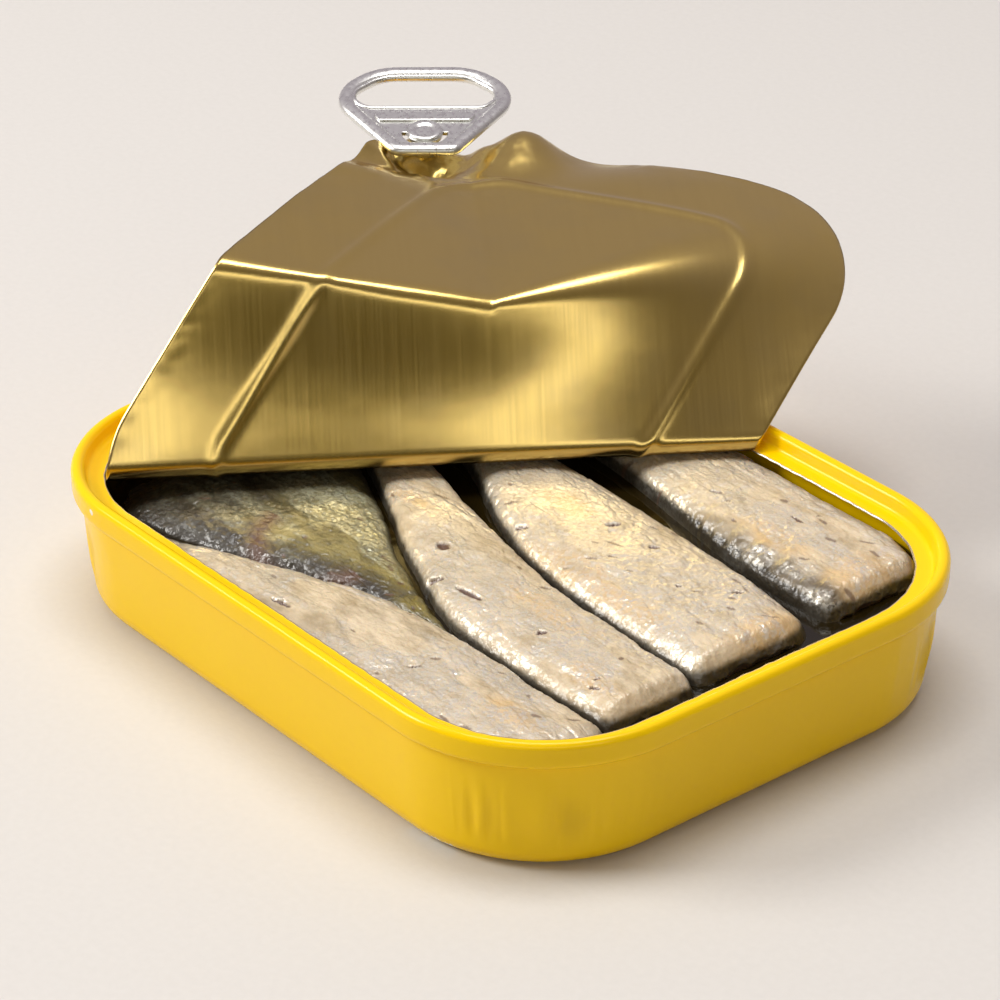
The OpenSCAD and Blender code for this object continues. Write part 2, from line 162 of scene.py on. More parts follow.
CAN_LENGTH, CAN_WIDTH, CAN_HEIGHT, CORNER = 105.0, 82.0, 19.0, 22.5
WALL, FOOT_IN, FOOT_RADIUS, STAND, FLOOR_RISE = 0.3, 2.3, 3.0, 1.0, 0.6
SEAM_HEIGHT, SEAM_WIDTH, HOOK = 3.5, 1.8, 1.25
LEDGE_Z, LEDGE_IN, END_SHEET = 16.9, 4.5, 0.3


def smooth(t):
    t = np.clip(t, 0, 1)
    return t * t * (3 - 2 * t)


def bump(t):
    return np.exp(-np.square(t))


def lattice_noise(x, y, size, seed):
    """Smooth noise from -1 to 1 over a plane, with lumps of about the given size."""
    table = np.random.default_rng(seed).uniform(-1, 1, (64, 64))
    u, v = np.asarray(x, float) / size, np.asarray(y, float) / size
    i, j = np.floor(u).astype(int), np.floor(v).astype(int)
    fu, fv = smooth(u - i), smooth(v - j)
    a, b = table[i % 64, j % 64], table[(i + 1) % 64, j % 64]
    c, d = table[i % 64, (j + 1) % 64], table[(i + 1) % 64, (j + 1) % 64]
    return (a + (b - a) * fu) * (1 - fv) + (c + (d - c) * fu) * fv


def rough_noise(x, y, size, seed, octaves=3):
    total = 0
    for k in range(octaves):
        total = total + lattice_noise(x, y, size / 2 ** k, seed + k) / 2 ** k
    return total / 1.6


def arc(cx, cz, radius, start, end, steps=10):
    return [(cx - radius * math.cos(math.radians(start + (end - start) * k / steps)),
             cz + radius * math.sin(math.radians(start + (end - start) * k / steps)))
            for k in range(steps + 1)]


def carried_round_tree():
    """A closed section, drawn in the X-Y plane, is carried round a rounded rectangle."""
    group = bpy.data.node_groups.new("section carried round the can", "GeometryNodeTree")
    face = group.interface
    face.new_socket("Section", in_out="INPUT", socket_type="NodeSocketGeometry")
    for name, value in (("Length", CAN_LENGTH * MM), ("Width", CAN_WIDTH * MM),
                        ("Corner Radius", CORNER * MM), ("Step", 0.0006)):
        face.new_socket(name, in_out="INPUT", socket_type="NodeSocketFloat").default_value = value
    face.new_socket("Finish", in_out="INPUT", socket_type="NodeSocketMaterial")
    face.new_socket("Ring", in_out="OUTPUT", socket_type="NodeSocketGeometry")
    start = add_node(group, "NodeGroupInput")
    end = add_node(group, "NodeGroupOutput")
    box = add_node(group, "GeometryNodeCurvePrimitiveQuadrilateral",
                   {"Width": start.outputs["Length"], "Height": start.outputs["Width"]})
    rounded = add_node(group, "GeometryNodeFilletCurve",
                       {"Count": 90, "Curve": box.outputs[0], "Radius": start.outputs["Corner Radius"]},
                       mode="POLY")
    even = add_node(group, "GeometryNodeResampleCurve",
                    {"Curve": rounded.outputs[0], "Length": start.outputs["Step"]}, mode="LENGTH")
    upright = add_node(group, "GeometryNodeSetCurveNormal", {"Curve": even.outputs[0]}, mode="Z_UP")
    outline = add_node(group, "GeometryNodeMeshToCurve", {"Mesh": start.outputs["Section"]})
    sweep = add_node(group, "GeometryNodeCurveToMesh",
                     {"Curve": upright.outputs[0], "Profile Curve": outline.outputs[0]})
    whole = add_node(group, "GeometryNodeRealizeInstances", {0: sweep.outputs[0]})
    paint = add_node(group, "GeometryNodeSetMaterial",
                     {"Geometry": whole.outputs[0], "Material": start.outputs["Finish"]})
    link(group, paint.outputs[0], end.inputs[0])
    return group


carry_round = carried_round_tree()


def run_nodes(name, mesh, group, **inputs):
    """Runs a node group on a mesh with the given inputs, and keeps the result as a plain mesh."""
    seed = bpy.data.objects.new(name + "_seed", mesh)
    bpy.context.collection.objects.link(seed)
    modifier = seed.modifiers.new("made", "NODES")
    modifier.node_group = group
    for item in group.interface.items_tree:
        if item.item_type == "SOCKET" and item.in_out == "INPUT" and item.name in inputs:
            modifier[item.identifier] = inputs[item.name]
    seed.update_tag()
    bpy.context.view_layer.update()
    graph = bpy.context.evaluated_depsgraph_get()
    result = bpy.data.meshes.new_from_object(seed.evaluated_get(graph), depsgraph=graph)
    bpy.data.objects.remove(seed)
    result.name = name
    return result


def section_mesh(name, points):
    """A closed outline whose x is the distance in from the seam, turned to suit the sweep."""
    mesh = bpy.data.meshes.new(name)
    count = len(points)
    mesh.from_pydata([(-x * MM, -z * MM, 0) for x, z in points],
                     [(k, (k + 1) % count) for k in range(count)], [])
    return mesh


def points_of(mesh):
    points = np.empty(len(mesh.vertices) * 3)
    mesh.vertices.foreach_get("co", points)
    return points.reshape(-1, 3) / MM


def set_points(mesh, points):
    mesh.vertices.foreach_set("co", (np.asarray(points) * MM).ravel())
    mesh.update()


def add_piece(name, mesh, slot, *nodes, smooth_faces=True):
    """Puts a finished mesh in the scene as a piece that stands for its CAD nodes."""
    piece = bpy.data.objects.new(name, mesh)
    bpy.context.collection.objects.link(piece)
    if smooth_faces:
        mesh.polygons.foreach_set("use_smooth", [True] * len(mesh.polygons))
    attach(piece, "root")
    if nodes:
        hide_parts(*nodes)
    return piece


def inset_of(points):
    """Distance in from the outline of the seam, and the outward direction there."""
    x, y = points[:, 0], points[:, 1]
    qx = np.abs(x) - (CAN_LENGTH / 2 - CORNER)
    qy = np.abs(y) - (CAN_WIDTH / 2 - CORNER)
    corner = (qx > 0) & (qy > 0)
    far = np.hypot(np.maximum(qx, 0), np.maximum(qy, 0))
    inset = CORNER - np.where(corner, far, np.maximum(qx, qy))
    wide = np.where(corner, qx / np.maximum(far, 1e-6), qx > qy)
    deep = np.where(corner, qy / np.maximum(far, 1e-6), qx <= qy)
    return inset, wide * np.sign(x), deep * np.sign(y), np.degrees(np.arctan2(qy, qx))


# Yellow paint: glossy, very slightly uneven, with the odd pin-point of dirt and a few chips
PAINT = (0.95, 0.62, 0.0)
PAINT_CHIPS = ((30.3, -40.3, 18.2, 0.55), (-32.4, -40.7, 17.6, 0.4), (29.5, -38.2, 0.3, 1.1),
               (31.5, -38.0, 0.2, 1.1), (33.5, -37.7, 0.2, 1.1), (35.5, -37.3, 0.3, 1.0))


def paint_material(name, chips):
    material, tree, shader = new_material(name)
    spot = add_node(tree, "ShaderNodeTexCoord")
    cloud = add_node(tree, "ShaderNodeTexNoise",
                     {"Scale": 60.0, "Detail": 4.0, "Vector": spot.outputs["Object"]})
    tone = add_node(tree, "ShaderNodeMixRGB",
                    {1: (*PAINT, 1), 2: (PAINT[0] * 0.97, PAINT[1] * 0.94, 0.0, 1),
                     0: cloud.outputs["Fac"]})
    grit = add_node(tree, "ShaderNodeTexVoronoi",
                    {"Scale": 170.0, "Randomness": 1.0, "Vector": spot.outputs["Object"]})
    speck = add_node(tree, "ShaderNodeMapRange",
                     {1: 0.03, 2: 0.05, 3: 1.0, 4: 0.0, 0: grit.outputs["Distance"]})
    few = add_node(tree, "ShaderNodeTexNoise",
                   {"Scale": 130.0, "Detail": 1.0, "Vector": spot.outputs["Object"]})
    rare = add_node(tree, "ShaderNodeMapRange", {1: 0.62, 2: 0.66, 0: few.outputs["Fac"]})
    dirt = add_node(tree, "ShaderNodeMath",
                    {0: speck.outputs[0], 1: rare.outputs[0]}, operation="MULTIPLY")
    dirty = add_node(tree, "ShaderNodeMixRGB",
                     {2: (0.25, 0.13, 0.01, 1), 0: dirt.outputs[0], 1: tone.outputs[0]})
    colour = dirty.outputs[0]
    ragged = add_node(tree, "ShaderNodeTexNoise",
                      {"Scale": 2500.0, "Detail": 2.0, "Vector": spot.outputs["Object"]})
    for x, y, z, size in chips:
        away = add_node(tree, "ShaderNodeVectorMath",
                        {1: (x * MM, y * MM, z * MM), 0: spot.outputs["Object"]}, operation="DISTANCE")
        edge = add_node(tree, "ShaderNodeMath",
                        {1: size * MM * 1.2, 0: ragged.outputs["Fac"]}, operation="MULTIPLY")
        inside = add_node(tree, "ShaderNodeMath", operation="LESS_THAN")
        grown = add_node(tree, "ShaderNodeMath",
                         {1: size * MM * 0.4, 0: edge.outputs[0]}, operation="ADD")
        link(tree, away.outputs["Value"], inside.inputs[0])
        link(tree, grown.outputs[0], inside.inputs[1])
        chip = add_node(tree, "ShaderNodeMixRGB",
                        {2: (0.85, 0.82, 0.72, 1), 0: inside.outputs[0], 1: colour})
        colour = chip.outputs[0]
    link(tree, colour, shader.inputs["Base Color"])
    set_shader(shader, roughness=0.24, specular_ior_level=0.20, coat_weight=0.09, coat_roughness=0.08)
    peel = add_node(tree, "ShaderNodeTexNoise",
                    {"Scale": 420.0, "Detail": 2.0, "Vector": spot.outputs["Object"]})
    ripple = add_node(tree, "ShaderNodeBump",
                      {"Strength": 0.12, "Distance": 0.0003, "Height": peel.outputs["Fac"]})
    link(tree, ripple.outputs["Normal"], shader.inputs["Normal"])
    return material, tree, shader, colour


body_paint = paint_material("yellow paint, body", PAINT_CHIPS)[0]

stand_end = FOOT_IN + FOOT_RADIUS + STAND
rise_end = stand_end + 1.0
seam_foot = CAN_HEIGHT - SEAM_HEIGHT
floor_edge = 30.0
wall_line = [(HOOK + (FOOT_IN - HOOK) * t, seam_foot - 1 - (seam_foot - 1 - FOOT_RADIUS) * t)
             for t in np.linspace(0, 1, 24)]
outer_wall = [(HOOK, seam_foot + 2.2)] + wall_line
body_section = (outer_wall
                + arc(FOOT_IN + FOOT_RADIUS, FOOT_RADIUS, FOOT_RADIUS, 0, -90)[1:]
                + [(stand_end, 0), (rise_end, FLOOR_RISE), (floor_edge, FLOOR_RISE),
                   (floor_edge, FLOOR_RISE + WALL), (rise_end - WALL / 2, FLOOR_RISE + WALL),
                   (stand_end - WALL / 2, WALL)]
                + arc(FOOT_IN + FOOT_RADIUS, FOOT_RADIUS, FOOT_RADIUS - WALL, -90, 0)
                + [(x + WALL, z) for x, z in reversed(outer_wall)])


def face_outwards(mesh):
    """Turns a closed mesh the right way out, by the sign of its volume."""
    mesh.calc_loop_triangles()
    points = points_of(mesh)
    corners = np.array([t.vertices[:] for t in mesh.loop_triangles])
    a, b, c = points[corners[:, 0]], points[corners[:, 1]], points[corners[:, 2]]
    if np.einsum("ij,ij->i", a, np.cross(b, c)).sum() < 0:
        mesh.flip_normals()


body_mesh = run_nodes("tin_body_shell", section_mesh("body_section", body_section), carry_round,
                      Length=CAN_LENGTH * MM, Width=CAN_WIDTH * MM,
                      **{"Corner Radius": CORNER * MM, "Finish": body_paint})
FOLD_WIDTH, FOLD_DEPTH, SHEET_WAVE = 2.3, 0.42, 0.05
p = points_of(body_mesh)
inset, nx, ny, turned = inset_of(p)
round_corner = bump((turned - 45) / 26)
height = (p[:, 2] - 1.0) / (seam_foot - 1.0)
fold_size = FOLD_WIDTH * (1 + 0.25 * lattice_noise(turned, turned * 0, 17, 3))
folds = np.sin(turned * math.radians(CORNER) / fold_size * 2 * math.pi
               + 2.2 * lattice_noise(turned, p[:, 2], 9, 4))
strength = round_corner * smooth((height - 0.12) / 0.25) * (1 - smooth((height - 0.45) / 0.5))
ease = FOLD_DEPTH * folds * strength * (0.7 + 0.5 * lattice_noise(turned, p[:, 2], 6, 5)) * (p[:, 2] > 0.7)
ease += (SHEET_WAVE * rough_noise(p[:, 0] + p[:, 1], p[:, 2], 14, 8)
         * smooth(height / 0.3) * (1 - smooth((height - 0.8) / 0.2)))
ease = np.minimum(ease, inset - 0.05) * (inset < 8)
p[:, 0] += nx * ease
p[:, 1] += ny * ease
set_points(body_mesh, p)
face_outwards(body_mesh)
add_piece("tin_body_shell", body_mesh, "yellow_paint", "tin_body")

# ---- End ring ----------------------------------------------------------------------------------------
# What stays of the can's end after it is opened: the double seam rolled over the body's edge, the
# chuck wall inside it and a narrow ledge. The ledge ends in the torn score, which shows bare metal.

end_paint, tree, shader, colour = paint_material("yellow paint, end", PAINT_CHIPS)
torn = add_node(tree, "ShaderNodeAttribute", attribute_name="torn")
bare = add_node(tree, "ShaderNodeMixRGB", {2: (0.62, 0.60, 0.55, 1), 0: torn.outputs["Fac"], 1: colour})
link(tree, bare.outputs[0], shader.inputs["Base Color"])
link(tree, torn.outputs["Fac"], shader.inputs["Metallic"])

seam_round = SEAM_WIDTH / 2
ring_section = ([(HOOK, seam_foot), (HOOK, seam_foot + 2.2), (HOOK + WALL, seam_foot + 2.2),
                 (HOOK + WALL, LEDGE_Z - END_SHEET), (3.2, LEDGE_Z - END_SHEET), (4.0, LEDGE_Z - END_SHEET),
                 (LEDGE_IN - 0.1, LEDGE_Z - END_SHEET), (LEDGE_IN, LEDGE_Z - 0.22),
                 (LEDGE_IN - 0.01, LEDGE_Z - 0.05), (LEDGE_IN - 0.08, LEDGE_Z + 0.02),
                 (LEDGE_IN - 0.25, LEDGE_Z), (3.9, LEDGE_Z), (3.4, LEDGE_Z), (SEAM_WIDTH + 1.0, LEDGE_Z)]
                + arc(SEAM_WIDTH + 0.95, LEDGE_Z + 0.8, 0.8, -90, 0, 6)[1:]
                + arc(seam_round, CAN_HEIGHT - seam_round, seam_round, 180, 0, 18)
                + [(0, 17.4), (0.02, 16.8), (0.02, seam_foot + 0.9), (0.05, seam_foot + 0.5),
                   (0.16, seam_foot + 0.22), (0.35, seam_foot + 0.06), (0.6, seam_foot)])
ring_mesh = run_nodes("end_ring_rim", section_mesh("ring_section", ring_section), carry_round,
                      Length=CAN_LENGTH * MM, Width=CAN_WIDTH * MM,
                      **{"Corner Radius": CORNER * MM, "Finish": end_paint})
p = points_of(ring_mesh)
inset, nx, ny, turned = inset_of(p)
travel = np.arctan2(p[:, 1], p[:, 0]) * 60
ragged = smooth((inset - 4.05) / 0.3)
nick = 0.10 * rough_noise(travel, travel * 0, 1.6, 21) + 0.05 * rough_noise(travel, travel * 0, 9, 25)
p[:, 0] += nx * ragged * (nick + 0.02)
p[:, 1] += ny * ragged * (nick + 0.02)
p[:, 2] += ragged * 0.05 * rough_noise(travel, travel * 0, 3.0, 23)
seam_wave = (inset < 0.3) * 0.03 * (1 + rough_noise(travel, p[:, 2], 7, 27))
p[:, 0] -= nx * seam_wave
p[:, 1] -= ny * seam_wave
set_points(ring_mesh, p)
mark = ring_mesh.attributes.new("torn", "FLOAT", "POINT")
mark.data.foreach_set("value", smooth((inset - 4.30) / 0.12).astype(np.float32))
face_outwards(ring_mesh)
add_piece("end_ring_rim", ring_mesh, "yellow_paint", "end_ring")

# ---- Lid ---------------------------------------------------------------------------------------------
# The end panel, one sheet of 0.3 mm metal. It is torn along its score from the front right corner,
# rolled back over a fold that crosses the can, creased where it was pulled, and still held at the
# back left. The outside is painted yellow; the inside has a gold lacquer over fine roll marks.

PANEL_X, PANEL_Y = CAN_LENGTH / 2 - LEDGE_IN, CAN_WIDTH / 2 - LEDGE_IN
PANEL_R = CORNER - LEDGE_IN
FOLD_START = np.array([-0.8125 * PANEL_X, -PANEL_Y + 5.5])
FOLD_END = np.array([0.125 * PANEL_X + 1, PANEL_Y + 1.5])
FOLD_RADIUS = 2.0
LEAN = (117, 114, 139)
TOP = (165, 176, 175)
CREASE = (31.7, 22.5, 30.5)
CREASE_SOFT = 8.5
DROOP = (11, 20)

fold_span = np.linalg.norm(FOLD_END - FOLD_START)
along = (FOLD_END - FOLD_START) / fold_span
out = np.array([along[1], -along[0]])
corner_point = np.array([PANEL_X - PANEL_R, -PANEL_Y + PANEL_R]) + PANEL_R * out
held_point = -corner_point
lid_back = (FOLD_START - held_point) @ out
lid_reach = (corner_point - FOLD_START) @ out
corner_a = (corner_point - FOLD_START) @ along
tab_a = corner_a - 6
fold_all = fold_span * 1.08


def inside_panel(points):
    qx = np.abs(points[..., 0]) - PANEL_X + PANEL_R
    qy = np.abs(points[..., 1]) - PANEL_Y + PANEL_R
    return PANEL_R - np.where((qx > 0) & (qy > 0), np.hypot(qx, qy), np.maximum(qx, qy))


def leave(start, way):
    near, far = 0.0, 90.0
    for _ in range(24):
        middle = (near + far) / 2
        if inside_panel(start + way * middle) > 0:
            near = middle
        else:
            far = middle
    return near


def between(a, b, t):
    return a + (b - a) * t


def crease_at(a):
    return np.where(a < corner_a, between(CREASE[0], CREASE[1], np.maximum(a, -5) / corner_a),
                    between(CREASE[1], CREASE[2], (a - corner_a) / (fold_all - corner_a)))


def softness_at(a):
    return np.where(a < corner_a, 0.8, between(0.8, CREASE_SOFT, (a - corner_a) / (fold_all - corner_a)))


def curve_through(three, t):
    a, m, b = three
    return between(a, b, t) + (m - (a + b) / 2) * 4 * t * (1 - t)


def lid_slope(s, a):
    """Slope of the sheet in degrees, a distance s past the fold and a place a along it."""
    t = a / fold_all
    lean, top, soft = curve_through(LEAN, t), curve_through(TOP, t), softness_at(a)
    return (lean * smooth(s / (2 * FOLD_RADIUS))
            + (top - lean) * smooth((s - crease_at(a) + soft) / (2 * soft))
            + between(DROOP[0], DROOP[1], t) * smooth((s - between(0.8, 0.64, t) * lid_reach) / 12))


def corner_push(s, a):
    """What the tab has pulled into the peeled corner, as a push out of the sheet."""
    e, back = a - tab_a, lid_reach - s
    dome = bump((back - 6) / 5.5)
    return (2.4 * bump(e / 3.5) * bump((back - 7) / 2.6)
            - 2.6 * bump(e / 5.5) * smooth((6.5 - back) / 4)
            - dome * (1.2 * bump((e + 9.5) / 4.2) + 5.2 * bump((e - 14) / 6)))


def gone(s, a):
    """How far out and up the sheet has gone at s, following its slope from the fold."""
    if s < 0:
        return np.full_like(a, s), np.zeros_like(a)
    count = max(round(s / 0.5), 1)
    middles = (np.arange(count) + 0.5)[:, None] * s / count
    slope = np.radians(lid_slope(middles, a[None, :]))
    return (np.cos(slope) * s / count).sum(0), (np.sin(slope) * s / count).sum(0)


BEAD_INSET, BEAD_WIDTH, BEAD_HEIGHT, BEAD_CORNER = 12.7, 1.7, 0.32, 9
SHEET_DENT, SHEET_GRAIN, EDGE_NICK, PUCKER, PINCH, BOW = 0.07, 0.012, 0.16, 0.55, 0.22, -0.45
# Bulges and hollows beside the tab: height, distance along from the tab, half length,
# distance back from the corner's edge, half width
PUCKERS = ((1.5, -8.2, 3.4, 4.5, 3.6), (-0.9, -8.5, 4.5, 9.5, 2.2), (-0.7, -4.2, 1.5, 4, 4),
           (0.8, 8, 2.0, 5, 4), (-0.5, 19, 3, 8, 4))


def lid_relief(s, a, plan):
    """Pressed bead, small dents and waves of the sheet, towards its inside face."""
    qx = np.abs(plan[:, 0]) - (PANEL_X - BEAD_INSET) + BEAD_CORNER
    qy = np.abs(plan[:, 1]) - (PANEL_Y - BEAD_INSET) + BEAD_CORNER
    off = BEAD_CORNER - np.where((qx > 0) & (qy > 0), np.hypot(qx, qy), np.maximum(qx, qy))
    bead = BEAD_HEIGHT * bump(off / (BEAD_WIDTH / 2)) * (1 - 0.55 * bump((s - crease_at(a)) / 2.5))
    if s < 0:
        return bead * 0
    waves = SHEET_DENT * lattice_noise(a, a * 0 + s, 13, 31) + SHEET_GRAIN * rough_noise(a, a * 0 + s, 5, 37)
    edge = inside_panel(plan)
    nicks = EDGE_NICK * rough_noise(a + s, s - a, 7.5, 41) * bump(edge / 2.2)
    e, behind = a - tab_a, lid_reach - s
    puckers = PUCKER * rough_noise(a, a * 0 + s, 3.2, 43) * bump((behind - 7) / 6) * bump(e / 13)
    for height, from_tab, half_long, from_edge, half_wide in PUCKERS:
        puckers = puckers + height * bump((e - from_tab) / half_long) * bump((behind - from_edge) / half_wide)
    pinch = (PINCH * bump((s - crease_at(a)) / 0.8) * (0.7 + 0.4 * lattice_noise(a, a * 0, 9, 47))
             * (a < corner_a))
    lower = np.clip(s / crease_at(a), 0, 1)
    bow = BOW * np.sin(math.pi * lower) ** 2 * (0.8 + 0.3 * np.sin(a / 17.0))
    return (bead + bow + waves * smooth(s / 6) + nicks * smooth(s / 5) + puckers - pinch * smooth(s / 8))


flat_rows, bent_rows, lid_columns = 14, 240, 170
EDGE_TRIM = 0.08
lid_row_at = np.concatenate([
    -lid_back * (1 - np.sin(np.radians(90 * np.arange(flat_rows) / flat_rows)) ** 2),
    lid_reach * np.sin(np.radians(90 * (np.arange(bent_rows + 1) / bent_rows) ** 0.95))])
faces_of_lid = {0.0: [], END_SHEET: []}
lid_uv = []
lid_edge = []
for s in lid_row_at * 0.999:
    held, far = (corner_point - FOLD_START) @ along, (held_point - FOLD_START) @ along
    middle_a = between(far, held, (s + lid_back) / (lid_reach + lid_back))
    start = FOLD_START + out * s + along * middle_a
    a = np.linspace(middle_a - leave(start, -along), middle_a + leave(start, along) - EDGE_TRIM,
                    lid_columns + 1)
    plan = FOLD_START + out * s + along * a[:, None]
    go_out, go_up = gone(s, a)
    slope = np.radians(lid_slope(s, a))
    relief = lid_relief(s, a, plan)
    for depth, rows in faces_of_lid.items():
        push = depth - corner_push(s, a) + relief
        away = go_out + push * np.sin(slope)
        rows.append(np.column_stack([FOLD_START + along * a[:, None] + out * away[:, None],
                                     LEDGE_Z + go_up - push * np.cos(slope)]))
    lid_uv.append(np.column_stack([a, np.full_like(a, s)]))
    lid_edge.append(inside_panel(plan))

rows, columns = len(lid_row_at), lid_columns + 1
sheet_points = rows * columns
lid_points = np.concatenate([np.concatenate(faces_of_lid[0.0]), np.concatenate(faces_of_lid[END_SHEET])])
quads = []
for i in range(rows - 1):
    for j in range(lid_columns):
        q = i * columns + j
        quads.append((q, q + 1, q + columns + 1, q + columns))
        quads.append((sheet_points + q, sheet_points + q + columns,
                      sheet_points + q + columns + 1, sheet_points + q + 1))
outer_count = len(quads)
for j in range(lid_columns):
    q, r = j, (rows - 1) * columns + j
    quads.append((q, sheet_points + q, sheet_points + q + 1, q + 1))
    quads.append((r, r + 1, sheet_points + r + 1, sheet_points + r))
for i in range(rows - 1):
    q, r = i * columns, i * columns + lid_columns
    quads.append((q, q + columns, sheet_points + q + columns, sheet_points + q))
    quads.append((r, sheet_points + r, sheet_points + r + columns, r + columns))
lid_mesh = bpy.data.meshes.new("lid_sheet")
lid_mesh.from_pydata(lid_points * MM, [], quads)
lid_mesh.update()

lid_places = np.tile(np.concatenate(lid_uv), (2, 1))
loop_vertex = np.empty(len(lid_mesh.loops), int)
lid_mesh.loops.foreach_get("vertex_index", loop_vertex)
lid_map = lid_mesh.uv_layers.new(name="roll marks")
lid_map.data.foreach_set("uv", (lid_places[loop_vertex] * 0.01).astype(np.float32).ravel())

lacquer, tree, shader = new_material("gold lacquer")
spot = add_node(tree, "ShaderNodeUVMap", uv_map="roll marks")
stretched = add_node(tree, "ShaderNodeMapping", {"Scale": (260.0, 3.5, 1.0), "Vector": spot.outputs[0]})
marks = add_node(tree, "ShaderNodeTexNoise",
                 {"Scale": 1.0, "Detail": 4.0, "Roughness": 0.65, "Vector": stretched.outputs[0]})
place = add_node(tree, "ShaderNodeTexCoord")
haze = add_node(tree, "ShaderNodeTexNoise",
                {"Scale": 75.0, "Detail": 5.0, "Roughness": 0.6, "Vector": place.outputs["Object"]})
gold = add_node(tree, "ShaderNodeMixRGB",
                {1: (0.62, 0.45, 0.14, 1), 2: (0.66, 0.485, 0.16, 1), 0: marks.outputs["Fac"]})
worn = add_node(tree, "ShaderNodeMixRGB", {2: (0.56, 0.42, 0.17, 1)})
hazy = add_node(tree, "ShaderNodeMapRange", {1: 0.45, 2: 0.75, 3: 0.0, 4: 0.6, 0: haze.outputs["Fac"]})
link(tree, hazy.outputs[0], worn.inputs[0])
link(tree, gold.outputs[0], worn.inputs[1])
link(tree, worn.outputs[0], shader.inputs["Base Color"])
set_shader(shader, metallic=1.0)
sheen = add_node(tree, "ShaderNodeMapRange", {1: 0.3, 2: 0.7, 3: 0.20, 4: 0.25, 0: marks.outputs["Fac"]})
link(tree, sheen.outputs[0], shader.inputs["Roughness"])
scratch = add_node(tree, "ShaderNodeBump",
                   {"Strength": 0.05, "Distance": 0.00005, "Height": marks.outputs["Fac"]})
link(tree, scratch.outputs["Normal"], shader.inputs["Normal"])

lid_paint = paint_material("yellow paint, lid", ())[0]
cut_metal, tree, shader = new_material("torn metal edge")
spot = add_node(tree, "ShaderNodeTexCoord")
tear = add_node(tree, "ShaderNodeTexNoise",
                {"Scale": 1800.0, "Detail": 3.0, "Vector": spot.outputs["Object"]})
bright = add_node(tree, "ShaderNodeMixRGB",
                  {1: (0.42, 0.42, 0.40, 1), 2: (0.80, 0.79, 0.75, 1), 0: tear.outputs["Fac"]})
link(tree, bright.outputs[0], shader.inputs["Base Color"])
set_shader(shader, metallic=1.0, roughness=0.35)
for finish in (lacquer, lid_paint, cut_metal):
    lid_mesh.materials.append(finish)
of_face = [1 if k % 2 == 0 else 0 for k in range(outer_count)] + [2] * (len(quads) - outer_count)
lid_mesh.polygons.foreach_set("material_index", of_face)
face_outwards(lid_mesh)
add_piece("lid_sheet", lid_mesh, "gold_lacquer", "lid")
lid_mesh.polygons.foreach_set("use_smooth", [k < outer_count for k in range(len(quads))])

# ---- Pull tab and rivet ------------------------------------------------------------------------------
# The tab is pressed from aluminium strip: a flat nose with a stamped tongue, and a finger ring whose
# edge is rolled round. The rivet is drawn up from the lid's own metal and flattened over the tongue.

TAB_WIDTH, TAB_LENGTH, TAB_HEIGHT, TAB_EDGE = 26.0, 21.4, 1.6, 2.3
RING_RADIUS, NOSE_WIDTH = 8.0, 9.0
RIVET_AT, HOLE_AT, TAB_SHEET = 4.9, 11.0, 0.7
tab_corners = [(-NOSE_WIDTH / 2, 0, 2), (NOSE_WIDTH / 2, 0, 2), (TAB_WIDTH / 2 + 1.2, TAB_LENGTH * 0.68, 7),
               (TAB_WIDTH * 0.27, TAB_LENGTH, RING_RADIUS), (-TAB_WIDTH * 0.27, TAB_LENGTH, RING_RADIUS),
               (-TAB_WIDTH / 2 - 1.2, TAB_LENGTH * 0.68, 7)]
hole_half = NOSE_WIDTH / 2 + (TAB_WIDTH - NOSE_WIDTH) / 2 * HOLE_AT / (TAB_LENGTH * 0.68) - TAB_EDGE * 1.2


def corner_sides(corners, i):
    point = np.array(corners[i][:2], float)
    before, after = np.array(corners[i - 1][:2]), np.array(corners[(i + 1) % len(corners)][:2])
    u, v = before - point, after - point
    return point, u / np.linalg.norm(u), v / np.linalg.norm(v)


def shrunk(corners, d):
    """The same corners moved inwards by d."""
    moved = []
    for i, (_, _, radius) in enumerate(corners):
        point, u, v = corner_sides(corners, i)
        q = point + (u + v) * d / abs(u[0] * v[1] - u[1] * v[0])
        moved.append((q[0], q[1], max(radius - d, 0.3)))
    return moved


def rounded(corners, steps=14):
    """Outline with its corners rounded."""
    line = []
    for i, (_, _, radius) in enumerate(corners):
        point, u, v = corner_sides(corners, i)
        half = math.acos(float(np.clip(u @ v, -1, 1))) / 2
        middle = point + (u + v) / np.linalg.norm(u + v) * radius / math.sin(half)
        first = point + u * radius / math.tan(half) - middle
        start = math.atan2(first[1], first[0])
        for k in range(steps + 1):
            t = start + (math.pi - 2 * half) * k / steps
            line.append((middle[0] + radius * math.cos(t), middle[1] + radius * math.sin(t)))
    return line


def evenly(line, step=0.35):
    """Points at even steps round a closed line."""
    closed = np.array(line + [line[0]])
    run = np.concatenate([[0], np.cumsum(np.linalg.norm(np.diff(closed, axis=0), axis=1))])
    at = np.linspace(0, run[-1], int(run[-1] / step), endpoint=False)
    return np.column_stack([np.interp(at, run, closed[:, 0]), np.interp(at, run, closed[:, 1])])


